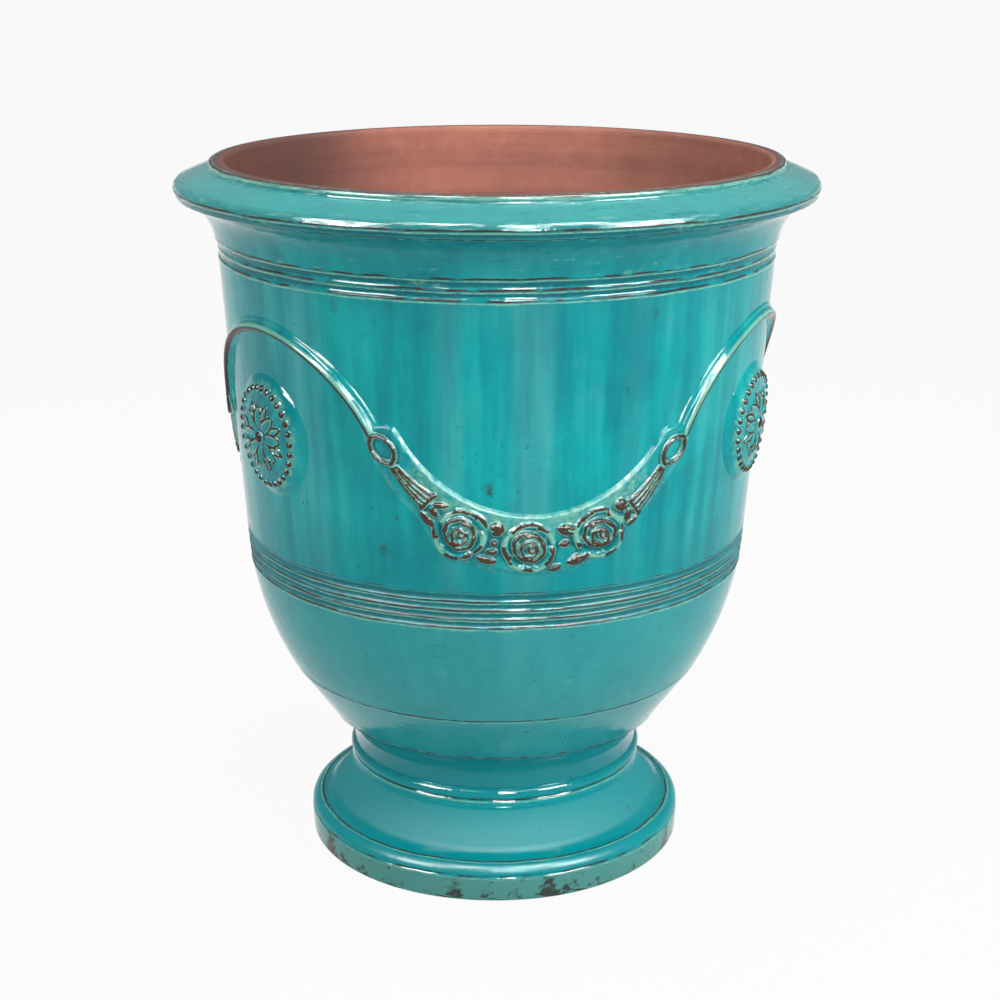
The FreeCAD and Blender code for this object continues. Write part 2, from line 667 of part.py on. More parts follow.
def medallion_beads():
    """The oval of beads round the medallion."""
    beads = []
    for number in range(BEAD_COUNT):
        angle = 2 * math.pi * number / BEAD_COUNT
        x = BEAD_OVAL_HALF_WIDTH * math.cos(angle)
        z = MEDALLION_HEIGHT + BEAD_OVAL_HALF_HEIGHT * math.sin(angle)
        bead = placed(stud(BEAD_RADIUS, BEAD_HEIGHT), x, z, MEDALLION_THICKNESS, SEAM_TURN)
        beads.append(bead.cut(wall_core(MEDALLION_THICKNESS)))
    return beads


def medallion_rosette():
    """The rosette in the medallion: pointed petals round a boss."""
    middle = ROSETTE_PETAL_START + ROSETTE_PETAL_LENGTH / 2
    petals = []
    for number in range(ROSETTE_PETALS):
        angle = FULL_TURN * number / ROSETTE_PETALS
        x = middle * math.cos(math.radians(angle))
        z = MEDALLION_HEIGHT + middle * math.sin(math.radians(angle))
        shape = leaf(ROSETTE_PETAL_LENGTH, ROSETTE_PETAL_WIDTH)
        petals.append(placed(shape, x, z, MEDALLION_THICKNESS, angle))
    boss = placed(stud(ROSETTE_BOSS_RADIUS, ROSETTE_BOSS_HEIGHT), 0, MEDALLION_HEIGHT, MEDALLION_THICKNESS)
    return boss.multiFuse(petals).cut(wall_core(MEDALLION_THICKNESS))


def garland_nodes():
    """The pieces of one garland, facing -Y, by name."""
    pieces = {"pad": [garland_pad()]}
    for name, place, across in ROSES:
        pieces["rose_" + name] = [placed_rose(place, across)]
    for name, side, offset in COLLAR_OFFSETS:
        collar = sheath_collar(side, offset)
        pieces["sheath_" + name] = [sheath(side, offset).cut(collar)]
        pieces["collar_" + name] = [collar]
        pieces["ring_" + name] = [festoon_ring(side)]
    met = [rose_room(place, across) for _, place, across in ROSES]
    met.extend(pieces["collar_" + name][0] for name, _, _ in COLLAR_OFFSETS)
    pieces["leaves"] = garland_leaves(met)
    pieces["buds"] = garland_buds(met + pieces["leaves"])
    return pieces


def medallion_nodes(garland):
    """The pieces of one medallion and the festoon over it, facing -Y, by name."""
    ends = [garland[name][0] for name in ("pad", "ring_left", "ring_right")]
    return {
        "medallion_pad": [medallion_pad()],
        "medallion_beads": medallion_beads(),
        "medallion_rosette": [medallion_rosette()],
        "festoon": [festoon(ends)],
    }


def main():
    """Builds every node and writes it to its own file."""
    nodes = {
        "foot": [foot()],
        "lower_bowl": [lower_bowl()],
        "upper_bowl": [upper_bowl()],
        "rim_collar": [rim_collar()],
    }
    garland = garland_nodes()
    medallion = medallion_nodes(garland)
    step = FULL_TURN / SIDES
    for number, name in enumerate(("front", "right", "left")):
        for piece, shapes in garland.items():
            nodes["garland_" + name + "_" + piece] = [turned_about(s, number * step) for s in shapes]
    for number, name in enumerate(("right", "back", "left")):
        for piece, shapes in medallion.items():
            nodes[piece + "_" + name] = [turned_about(s, (number + 0.5) * step) for s in shapes]
    os.makedirs("parts", exist_ok=True)
    for name, shapes in nodes.items():
        solids = [solid for shape in shapes for solid in shape.Solids]
        whole = solids[0] if len(solids) == 1 else Part.makeCompound(solids)
        whole.exportStep(os.path.join("parts", name + ".step"))


main()
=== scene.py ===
import logging
import math
from dataclasses import dataclass, field
from enum import Enum

import bpy
import numpy as np
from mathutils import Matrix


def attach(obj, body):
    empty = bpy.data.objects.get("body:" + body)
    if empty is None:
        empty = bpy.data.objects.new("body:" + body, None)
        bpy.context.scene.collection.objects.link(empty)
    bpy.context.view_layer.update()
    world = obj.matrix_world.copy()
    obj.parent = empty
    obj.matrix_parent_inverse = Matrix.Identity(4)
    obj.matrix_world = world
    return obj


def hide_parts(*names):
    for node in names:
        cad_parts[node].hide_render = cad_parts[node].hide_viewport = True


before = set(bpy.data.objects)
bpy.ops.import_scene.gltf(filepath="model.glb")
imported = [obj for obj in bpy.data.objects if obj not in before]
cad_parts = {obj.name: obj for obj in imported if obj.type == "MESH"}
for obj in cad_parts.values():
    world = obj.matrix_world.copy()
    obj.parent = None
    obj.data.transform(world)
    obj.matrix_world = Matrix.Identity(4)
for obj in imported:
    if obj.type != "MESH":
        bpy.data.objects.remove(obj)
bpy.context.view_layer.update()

MM = 0.001
# A pattern's scale is PER_METRE over its size in millimetres.
PER_METRE = 1000.0
# The height of a sprig where it isn't, well below the wall.
ABSENT = -5.0
# The tongue of each seam is this wide and high, and its rabbet a little more.
TONGUE = 9.0
RABBET = 9.4
Array = np.ndarray
Material = bpy.types.Material
Socket = bpy.types.NodeSocket
Layers = list[tuple[Socket, Socket | tuple[float, ...]]]
Pair = tuple[float, float]
Triple = tuple[float, float, float]
Four = tuple[float, float, float, float]
LOG = logging.getLogger("vase")


class Slot(Enum):
    """The record's material slots."""

    TURQUOISE = "turquoise_glaze"
    BROKEN = "broken_glaze"


class LineKind(Enum):
    """What the turning tool leaves: a shallow hollow, a narrow ridge or groove, or a plain edge."""

    HOLLOW = "hollow"
    RIDGE = "ridge"
    GROOVE = "groove"
    EDGE = "edge"


class Turn(Enum):
    """Where an ornament sits round the vase, in degrees from the front towards +X."""

    FRONT = 0.0
    RIGHT_MEDALLION = 60.0
    RIGHT = 120.0
    BACK_MEDALLION = 180.0
    LEFT = 240.0
    LEFT_MEDALLION = 300.0


def linear(code: str) -> Four:
    """Turns an sRGB hex colour to linear.

    Args:
        code: Six hex digits.

    Returns:
        Linear red, green, blue and an alpha of 1.
    """
    parts = np.array([int(code[i:i + 2], 16) for i in (0, 2, 4)]) / 255
    flat = np.where(parts <= 0.04045, parts / 12.92, ((parts + 0.055) / 1.055) ** 2.4)
    return (float(flat[0]), float(flat[1]), float(flat[2]), 1.0)


def eased(low: float, high: float, value: Array) -> Array:
    """Rises smoothly from 0 at low to 1 at high: 3t^2 - 2t^3 of the clipped share t.

    Args:
        low: Value that gives 0.
        high: Value that gives 1.
        value: Any array.

    Returns:
        Shares from 0 to 1.
    """
    share = np.clip((value - low) / (high - low), 0, 1)
    return share * share * (3 - 2 * share)


def banded(value: Array, low: float, full: float, fading: float, gone: float) -> Array:
    """A band: rises smoothly from 0 at low to 1 at full, and falls from 1 at fading to 0 at gone."""
    return eased(low, full, value) * eased(gone, fading, value)


def swung(angle: Array, middle: float) -> Array:
    """Degrees from a direction, from -180 to 180, of angles in radians."""
    return (np.degrees(angle) - middle + 180) % 360 - 180


def rounded(distance: Array, reach: float) -> Array:
    """A half circle of height 1: the root of 1 - (distance / reach)^2, and 0 outside the reach.

    Args:
        distance: Distance from the middle line.
        reach: Half width of the form.

    Returns:
        Heights from 0 to 1.
    """
    return np.sqrt(np.clip(1 - (distance / reach) ** 2, 0, 1))


def blurred(values: Array, spread: float) -> Array:
    """Blurs a grid by a Gaussian: its spectrum times exp(-2 (pi f spread)^2) on each axis.

    Args:
        values: A grid of one or two axes.
        spread: Standard deviation in grid steps.

    Returns:
        The blurred grid.
    """
    margin = 48
    for axis in range(values.ndim):
        pad = [(0, 0)] * values.ndim
        pad[axis] = (margin, margin)
        wide = np.pad(values, pad, mode="edge")
        rate = np.fft.rfftfreq(wide.shape[axis])
        shape = [1] * values.ndim
        shape[axis] = rate.size
        fade = np.exp(-2 * (np.pi * rate * spread) ** 2).reshape(shape)
        wide = np.fft.irfft(np.fft.rfft(wide, axis=axis) * fade, n=wide.shape[axis], axis=axis)
        values = np.take(wide, np.arange(margin, wide.shape[axis] - margin), axis=axis)
    return values


def waver(angle: Array, seed: float, turns: tuple[int, ...] = (5, 9, 14, 23, 37)) -> Array:
    """An even wander round the vase: a mean of sines of whole turns with phases from the seed.

    Args:
        angle: Angles in radians.
        seed: Any number.
        turns: How many waves each sine has round the vase.

    Returns:
        Values from about -1 to 1.
    """
    return sum(np.sin(n * angle + seed * (1.7 + 0.61 * n)) for n in turns) / math.sqrt(len(turns))


def crossed(angle: Array, run: Array, waves: tuple[tuple[int, float], ...], phase: float,
            rise: float) -> Array:
    """Blotches: a sum of waves round the vase, each times a wave along the outline.

    Args:
        angle: Angles in radians round the vase.
        run: Heights, or lengths along the outline.
        waves: How many waves go round the vase, and the rate of those along the outline.
        phase: Phase of the waves round the vase, for each of their number.
        rise: Phase of the waves along the outline, for each of that number.

    Returns:
        Values from about -3 to 3.
    """
    return sum(np.sin(n * angle + phase * n) * np.sin(k * run + rise * n) for n, k in waves)


def add_piece(name: str, node: str, points: Array, quads: Array, marks: dict[str, Array],
              finish: Material, sharp: float = 62.0) -> bpy.types.Object:
    """Makes a mesh piece of quads that stands for a CAD node and rides on the vase.

    Args:
        name: Object name.
        node: CAD node that the piece replaces.
        points: Points in millimetres, one row each.
        quads: Rows of four point numbers.
        marks: Values of each point, kept as named attributes that the finish reads.
        finish: Material.
        sharp: Degrees from which an edge is shaded sharp.

    Returns:
        The new object.
    """
    mesh = bpy.data.meshes.new(name)
    mesh.vertices.add(len(points))
    mesh.vertices.foreach_set("co", (points * MM).astype(np.float32).ravel())
    mesh.loops.add(quads.size)
    mesh.loops.foreach_set("vertex_index", quads.astype(np.int32).ravel())
    mesh.polygons.add(len(quads))
    mesh.polygons.foreach_set("loop_start", np.arange(0, quads.size, 4, dtype=np.int32))
    mesh.polygons.foreach_set("use_smooth", np.ones(len(quads), dtype=bool))
    mesh.update(calc_edges=True)
    mesh.validate()
    mesh.set_sharp_from_angle(angle=math.radians(sharp))
    for key, values in marks.items():
        kept = mesh.attributes.new(key, "FLOAT", "POINT").data
        kept.foreach_set("value", values.astype(np.float32).ravel())
    mesh.materials.append(finish)
    piece = bpy.data.objects.new(name, mesh)
    bpy.context.scene.collection.objects.link(piece)
    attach(piece, "root")
    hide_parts(node)
    LOG.info("%s: %d points, %d quads", name, len(points), len(quads))
    return piece


def add(tree: bpy.types.NodeTree, kind: str, feeds: dict | None = None, **settings: object) -> bpy.types.Node:
    """Adds a node with its settings and links.

    Args:
        tree: Node tree.
        kind: Node type.
        feeds: Sockets by name or number, each with a constant or the socket that feeds it.
        settings: Node properties.

    Returns:
        The new node.
    """
    made = tree.nodes.new(kind)
    for key, value in settings.items():
        setattr(made, key, value)
    for key, value in (feeds or {}).items():
        if isinstance(value, Socket):
            tree.links.new(value, made.inputs[key])
        else:
            made.inputs[key].default_value = value
    return made


@dataclass(frozen=True)
class Tint:
    """A colour that takes over between two values of a height in metres, a mark or a noise, up to a share."""

    code: str
    start: float
    end: float
    most: float = 1.0


@dataclass(frozen=True)
class GlazedEarthenware:
    """Earthenware dipped in a coloured lead-style glaze and left bare inside.

    The glaze runs while it melts: it pools deep in the hollows, thins to a pale skin below an edge
    and leaves the edge itself dark brown, so every crest reads as a drawn line. Sizes are in
    millimetres. The clay's grit is drawn coarser than it is, because it would not show at its own
    size. Three numbers of a speck or of the painted shade on a side of the bare clay are its start,
    its end and its share.
    """

    deep: str = "008790"
    pale: Tint = Tint("00ADAE", 0.80, 1.22)
    # The milky veil; where the sections draw it down the front of the bowl, it is a painted reflection of the
    # floor.
    milk_and_reflection: Tint = Tint("55A6AB", 0.26, 0.46, 0.4)
    # The cavetto, darkened as painted shade under the rim, the rim's top, the wall's foot, the swell, the
    # neck, darkened as painted shade under the bowl, the flare and the plinth.
    levels_and_shade: tuple[Tint, ...] = (
        Tint("1E7A82", 0.56, 0.655, 0.6), Tint("4E8F89", 0.6675, 0.6745, 0.55),
        Tint("007F88", 0.40, 0.345, 0.5), Tint("3F9FA2", 0.33, 0.30, 0.55), Tint("007E88", 0.156, 0.130, 0.7),
        Tint("00999F", 0.100, 0.088, 0.85), Tint("5E9A90", 0.0262, 0.0225, 0.75))
    pool: Tint = Tint("0B5F68", 0.06, 0.72, 0.8)
    thin: Tint = Tint("8CC7AD", 0.13, 0.68, 0.85)
    crest: Tint = Tint("1D0D0A", 0.18, 0.50, 0.95)
    crest_warm: str = "57291D"
    scuff: Tint = Tint("35251F", 0.12, 0.55, 0.85)
    speck: str = "21423F"
    pinhole: Triple = (0.06, 0.03, 0.6)
    pinhole_patch: Pair = (0.5, 0.58)
    fleck: Triple = (0.62, 0.68, 0.7)
    fleck_patch: Pair = (0.55, 0.63)
    ragged: Triple = (0.3, 0.7, 0.35)
    clay: str = "A9614A"
    clay_dark: Tint = Tint("7F3F2D", 0.80, 1.5)
    clay_bloom: Tint = Tint("B77D67", 0.54, 0.74, 0.3)
    # Painted shade: the bare clay, mostly the inside, darkens towards the left and the right.
    clay_shade: str = "4C2419"
    shade_left: Triple = (-0.05, -0.19, 0.9)
    shade_right: Triple = (0.10, 0.25, 0.45)
    run_width: float = 17.0
    run_length: float = 420.0
    cloud: float = 110.0
    milk_size: float = 150.0
    break_size: float = 7.0
    peel: float = 9.0
    pinhole_pitch: float = 26.0
    ring_width: float = 500.0
    ring_pitch: float = 12.0
    ring_depth: float = 3.0
    blotch_size: float = 60.0
    bloom_size: float = 22.0
    grit: float = 2.2
    glaze_rough: Pair = (0.03, 0.1)
    dull_rough: float = 0.75
    clay_rough: float = 0.85
    ior: float = 1.52
    shine: float = 0.16
    bump: float = 0.5
    bump_depth: float = 0.6

    def material(self) -> Material:
        """Builds the node material: glaze and clay as layers of colour, with roughness and bump.

        Returns:
            The finish for every piece of the vase.
        """
        made = bpy.data.materials.new("earthenware_turquoise_glaze")
        made.use_nodes = True
        tree = made.node_tree
        tree.nodes.clear()
        place = add(tree, "ShaderNodeTexCoord").outputs["Object"]
        marks = {key: add(tree, "ShaderNodeAttribute", attribute_name=key).outputs["Fac"]
                 for key in ("crest", "thin", "pool", "bare", "wear", "milk_and_reflection", "dull")}
        glaze, breaks, runs = self.glaze_layers(tree, place, marks)
        clay, rings = self.clay_layers(tree, place)
        coats = []
        for first, layers in ((self.deep, glaze), (self.clay, clay)):
            colour = linear(first)
            for factor, paint in layers:
                colour = add(tree, "ShaderNodeMix", {0: factor, 6: colour, 7: paint},
                             data_type="RGBA").outputs[2]
            coats.append(colour)
        colour = add(tree, "ShaderNodeMix", {0: marks["bare"], 6: coats[0], 7: coats[1]},
                     data_type="RGBA").outputs[2]
        smooth, satin = self.glaze_rough
        rough = add(tree, "ShaderNodeMapRange", {0: breaks, 3: smooth, 4: satin}).outputs[0]
        for key, most in (("dull", self.dull_rough), ("bare", self.clay_rough)):
            rough = add(tree, "ShaderNodeMix", {0: marks[key], 2: rough, 3: most}).outputs[0]
        peel, grit = (add(tree, "ShaderNodeTexNoise", {"Vector": place, "Scale": PER_METRE / size,
                                                       "Detail": 3.0}).outputs[0]
                      for size in (self.peel, self.grit))
        skin = add(tree, "ShaderNodeMath", {0: peel, 1: runs}, operation="ADD").outputs[0]
        ringed = add(tree, "ShaderNodeMath", {0: rings, 1: self.ring_depth, 2: grit},
                     operation="MULTIPLY_ADD").outputs[0]
        relief = add(tree, "ShaderNodeMix", {0: marks["bare"], 2: skin, 3: ringed}).outputs[0]
        bump = add(tree, "ShaderNodeBump", {"Strength": self.bump, "Distance": self.bump_depth * MM,
                                            "Height": relief}).outputs[0]
        shader = add(tree, "ShaderNodeBsdfPrincipled", {
            "Base Color": colour, "Roughness": rough, "Normal": bump, "IOR": self.ior,
            "Specular IOR Level": self.shine})
        add(tree, "ShaderNodeOutputMaterial", {"Surface": shader.outputs[0]})
        return made

    def glaze_layers(self, tree: bpy.types.NodeTree, place: Socket,
                     marks: dict[str, Socket]) -> tuple[Layers, Socket, Socket]:
        """Layers the glaze: runs, clouds, streaks of milky glaze with a painted reflection of the floor down
        the front, and tints by height with painted shade under the rim and the bowl, then pools, thin skin,
        dark crests and pinholes.

        Args:
            tree: Node tree.
            place: Object coordinates in metres.
            marks: Sockets of the surface's own attributes.

        Returns:
            Pairs of a factor and a colour, and sockets of the breaking noise and of the runs.
        """
        level = add(tree, "ShaderNodeSeparateXYZ", {0: place}).outputs["Z"]
        narrow = PER_METRE / self.run_width
        stretch = add(tree, "ShaderNodeMapping", {
            "Vector": place, "Scale": (narrow, narrow, PER_METRE / self.run_length)}).outputs[0]
        runs = add(tree, "ShaderNodeTexNoise", {"Vector": stretch, "Scale": 1.0, "Detail": 3.0,
                                                "Roughness": 0.5}).outputs[0]
        cloud, milk_and_reflection, breaks = (
            add(tree, "ShaderNodeTexNoise", {"Vector": place, "Scale": PER_METRE / size, "Detail": detail,
                                             "Roughness": 0.68}).outputs[0]
            for size, detail in ((self.cloud, 8.0), (self.milk_size, 3.0), (self.break_size, 3.0)))
        both = add(tree, "ShaderNodeMath", {0: runs, 1: cloud}, operation="ADD").outputs[0]
        streak = add(tree, "ShaderNodeMath", {0: milk_and_reflection, 1: runs}, operation="MULTIPLY").outputs[0]
        share, veil = (
            add(tree, "ShaderNodeMapRange", {0: value, 1: tint.start, 2: tint.end, 4: tint.most}).outputs[0]
            for value, tint in ((both, self.pale), (streak, self.milk_and_reflection)))
        # The sections' streaks; the one at the front is a painted reflection of the floor.
        drawn = add(tree, "ShaderNodeMath", {0: marks["milk_and_reflection"], 1: runs}, operation="MULTIPLY").outputs[0]
        veil = add(tree, "ShaderNodeMath", {0: drawn, 1: veil}, operation="ADD", use_clamp=True).outputs[0]
        layers = [(share, linear(self.pale.code)), (veil, linear(self.milk_and_reflection.code))]
        # Tints by height; those of the cavetto and the neck are painted shade.
        for tint in self.levels_and_shade:
            factor = add(tree, "ShaderNodeMapRange", {0: level, 1: tint.start, 2: tint.end,
                                                      4: tint.most}).outputs[0]
            layers.append((factor, linear(tint.code)))
        low, high, most = self.ragged
        uneven = add(tree, "ShaderNodeMapRange", {0: breaks, 1: low, 2: high, 3: -most, 4: most}).outputs[0]
        warm = add(tree, "ShaderNodeMix", {0: cloud, 6: linear(self.crest.code), 7: linear(self.crest_warm)},
                   data_type="RGBA").outputs[2]
        for key, tint in (("pool", self.pool), ("thin", self.thin), ("crest", self.crest),
                          ("wear", self.scuff)):
            kept = add(tree, "ShaderNodeMath", {0: uneven, 1: marks[key]}, operation="ADD").outputs[0]
            kept = add(tree, "ShaderNodeMath", {0: kept, 1: marks[key]}, operation="MULTIPLY").outputs[0]
            factor = add(tree, "ShaderNodeMapRange", {0: kept, 1: tint.start, 2: tint.end, 4: tint.most},
                         interpolation_type="SMOOTHSTEP").outputs[0]
            layers.append((factor, warm if key == "crest" else linear(tint.code)))
        cells = add(tree, "ShaderNodeTexVoronoi", {"Vector": place, "Scale": PER_METRE / self.pinhole_pitch})
        dots = []
        for value, (start, end, most), ground, patch in (
                (breaks, self.fleck, cloud, self.fleck_patch),
                (cells.outputs["Distance"], self.pinhole, milk_and_reflection, self.pinhole_patch)):
            dot = add(tree, "ShaderNodeMapRange", {0: value, 1: start, 2: end, 4: most}).outputs[0]
            rare = add(tree, "ShaderNodeMapRange", {0: ground, 1: patch[0], 2: patch[1]}).outputs[0]
            dots.append(add(tree, "ShaderNodeMath", {0: dot, 1: rare}, operation="MULTIPLY").outputs[0])
        either = add(tree, "ShaderNodeMath", {0: dots[0], 1: dots[1]}, operation="MAXIMUM").outputs[0]
        layers.append((either, linear(self.speck)))
        return layers, breaks, runs

    def clay_layers(self, tree: bpy.types.NodeTree, place: Socket) -> tuple[Layers, Socket]:
        """Layers the bare clay: fired blotches, a pale bloom, throwing rings and painted shade that darkens
        it towards the left and the right.

        Args:
            tree: Node tree.
            place: Object coordinates in metres.

        Returns:
            Pairs of a factor and a colour, and the socket of the throwing rings.
        """
        wide = PER_METRE / self.ring_width
        flat = add(tree, "ShaderNodeMapping", {
            "Vector": place, "Scale": (wide, wide, PER_METRE / self.ring_pitch)}).outputs[0]
        rings = add(tree, "ShaderNodeTexNoise", {"Vector": flat, "Scale": 1.0, "Detail": 2.0}).outputs[0]
        blotch, bloom = (
            add(tree, "ShaderNodeTexNoise", {"Vector": place, "Scale": PER_METRE / size, "Detail": 5.0,
                                             "Roughness": 0.6}).outputs[0]
            for size in (self.blotch_size, self.bloom_size))
        both = add(tree, "ShaderNodeMath", {0: blotch, 1: rings}, operation="ADD").outputs[0]
        side = add(tree, "ShaderNodeSeparateXYZ", {0: place}).outputs["X"]
        dark, haze = (
            add(tree, "ShaderNodeMapRange", {0: value, 1: tint.start, 2: tint.end, 4: tint.most}).outputs[0]
            for value, tint in ((both, self.clay_dark), (bloom, self.clay_bloom)))
        # Painted shade towards the left and the right sides.
        left, right = (
            add(tree, "ShaderNodeMapRange", {0: side, 1: start, 2: end, 4: most},
                interpolation_type="SMOOTHSTEP").outputs[0]
            for start, end, most in (self.shade_left, self.shade_right))
        side_shade = add(tree, "ShaderNodeMath", {0: left, 1: right}, operation="MAXIMUM").outputs[0]
        return [(dark, linear(self.clay_dark.code)), (haze, linear(self.clay_bloom.code)),
                (side_shade, linear(self.clay_shade))], rings


@dataclass(frozen=True)
class TurnedLine:
    """One line left by the turning tool, or an edge of the outline where the glaze breaks.

    dark is how strongly the glaze breaks to brown on it, gaps how far the brown fades between its
    dashes, wide the brown's half width, and radius tells apart the two places where an outline
    passes one height. skin is the thin glaze's strength, its gap below the brown and its half width.
    """

    height: float
    kind: LineKind
    reach: float = 0.9
    depth: float = 0.0
    dark: float = 0.0
    radius: float | None = None
    gaps: float = 0.3
    wide: float = 1.15
    wander: float = 0.3
    vary: float = 0.16
    skin: Triple = (0.8, 1.3, 1.1)
    pooled: float = 0.9

    def far(self, radius: Array, height: Array, run: Array, shown: Array, angle: Array) -> Array:
        """Distance from the line along the outline, which wanders round the vase as a held tool does.

        Args:
            radius: Radii of the outline.
            height: Heights of the outline.
            run: Lengths along the outline.
            shown: 0 on joint faces.
            angle: Angles in radians round the vase.

        Returns:
            Distances, one row for each outline point and one column for each angle.
        """
        miss = np.abs(height - self.height) + 1e3 * (shown < 1)
        if self.radius is not None:
            miss = miss + np.abs(radius - self.radius)
        return run[:, None] - run[np.argmin(miss)] - self.wander * waver(angle, self.height)

    def offset(self, far: Array, angle: Array) -> Array:
        """How far the line moves the surface outwards.

        A hollow is -(1 - u^2)^0.6, a ridge exp(-u^2) and a groove -exp(-u^2), each times a depth
        that varies round the vase, where u is the distance over the reach. An edge moves nothing.

        Args:
            far: Distances from the line.
            angle: Angles in radians round the vase.

        Returns:
            Offsets in millimetres.
        """
        share = far / self.reach
        depth = self.depth * (1 + self.vary * waver(angle, self.height + 3.0))
        if self.kind is LineKind.HOLLOW:
            return -depth * np.clip(1 - share * share, 0, None) ** 0.6
        return (depth if self.kind is LineKind.RIDGE else -depth) * np.exp(-share * share)

    def marks(self, far: Array, angle: Array) -> dict[str, Array]:
        """Where the glaze breaks: a dashed dark line, a thin skin just below it and pools in hollows.

        Args:
            far: Distances from the line.
            angle: Angles in radians round the vase.

        Returns:
            Marks from 0 to 1 by name.
        """
        wave = waver(angle, 1.3 * self.height + 7.0, (7, 13, 22, 35, 58))
        dashes = 1 - self.gaps * eased(0.4, -0.8, wave)
        strength, gap, half = self.skin
        hollow = self.kind is LineKind.HOLLOW
        return {"crest": self.dark * dashes * np.exp(-(far / self.wide) ** 2),
                "thin": strength * self.dark * np.exp(-((far + self.wide + gap) / half) ** 2),
                "pool": self.pooled * hollow * np.clip(1 - (far / self.reach) ** 2, 0, None)}


@dataclass
class VaseForm:
    """The thrown outline that all pieces share, and the slight irregularity of the hand.

    A stray is a wave's size, count round the vase, phase and drift with height.
    """

    band_height: float = 320.6
    collar_height: float = 615.0
    band_radius: float = 248.5
    collar_radius: float = 269.5
    wall_bulge: float = 0.6
    wall: float = 19.0
    full_height: float = 695.5
    lean_at_foot: float = -2.9
    lean_at_lip: float = 0.4
    strays: tuple[tuple[float, int, float, float], ...] = (
        (0.30, 2, 0.4, 0.004), (0.22, 3, 1.9, -0.009), (0.12, 7, 0.0, 0.021))

    def wall_radius(self, height: Array) -> Array:
        """The upper bowl's outer radius: the chord from band to collar plus a parabola of the bulge.

        Args:
            height: Heights in millimetres.

        Returns:
            Radii in millimetres.
        """
        share = (height - self.band_height) / (self.collar_height - self.band_height)
        chord = self.band_radius + share * (self.collar_radius - self.band_radius)
        return chord + 4 * self.wall_bulge * share * (1 - share)

    def uneven(self, angle: Array, height: Array) -> Array:
        """How far the thrown wall strays: long waves of a size, count and phase that drift with height."""
        return sum(size * np.sin(n * angle + phase + height * drift) for size, n, phase, drift in self.strays)

    def placed(self, angle: Array, radius: Array, height: Array) -> Array:
        """Puts points round the vase: x = r sin a + lean, y = -r cos a, where the lean grows with height.

        Args:
            angle: Angles in radians from the front towards +X.
            radius: Radii in millimetres.
            height: Heights in millimetres.

        Returns:
            Points, one row each.
        """
        lean = self.lean_at_foot + (self.lean_at_lip - self.lean_at_foot) * height / self.full_height
        x = radius * np.sin(angle) + lean
        return np.stack([x, -radius * np.cos(angle), height + 0 * x], axis=-1).reshape(-1, 3)


class Profile:
    """A closed outline of radius and height, walked in fine steps, with marks for bare clay."""

    STEP = 0.45

    def __init__(self, radius: float, height: float) -> None:
        """Starts the outline at a point.

        Args:
            radius: Radius of the point.
            height: Height of the point.
        """
        self.parts: list[Array] = []
        self.pen = np.array([radius, height])
        self.bare: list[Array] = []
        self.shown: list[Array] = []

    def to(self, radius: float, height: float, bulge: float = 0.0, bare: float = 0.0,
           shown: float = 1.0) -> "Profile":
        """Walks to a point, straight or on a curve that stands off its chord to the right of travel.

        The curve is the chord plus 4 t (1 - t) times the bulge, along the chord's right-hand normal.

        Args:
            radius: Radius of the end point.
            height: Height of the end point.
            bulge: How far the curve stands off its chord.
            bare: 1 where the clay has no glaze.
            shown: 0 on joint faces, where turned lines don't reach.

        Returns:
            This profile, for the next step.
        """
        end = np.array([radius, height])
        run = end - self.pen
        length = float(np.hypot(*run))
        share = np.linspace(0, 1, max(2, int(length / self.STEP) + 1))[:-1, None]
        right = np.array([run[1], -run[0]]) / length
        self.parts.append(self.pen + share * run + 4 * share * (1 - share) * bulge * right)
        self.bare.append(np.full(len(share), bare))
        self.shown.append(np.full(len(share), shown))
        self.pen = end
        return self

    def joint(self, *stops: Pair) -> "Profile":
        """Walks straight from stop to stop over bare faces that turned lines don't reach.

        Args:
            stops: Radius and height of each.

        Returns:
            This profile, for the next step.
        """
        for radius, height in stops:
            self.to(radius, height, bare=1, shown=0)
        return self

    def arrays(self) -> tuple[Array, Array, Array, Array]:
        """The radii, heights, bare marks and shown marks of the whole outline."""
        points = np.concatenate(self.parts)
        return points[:, 0], points[:, 1], np.concatenate(self.bare), np.concatenate(self.shown)


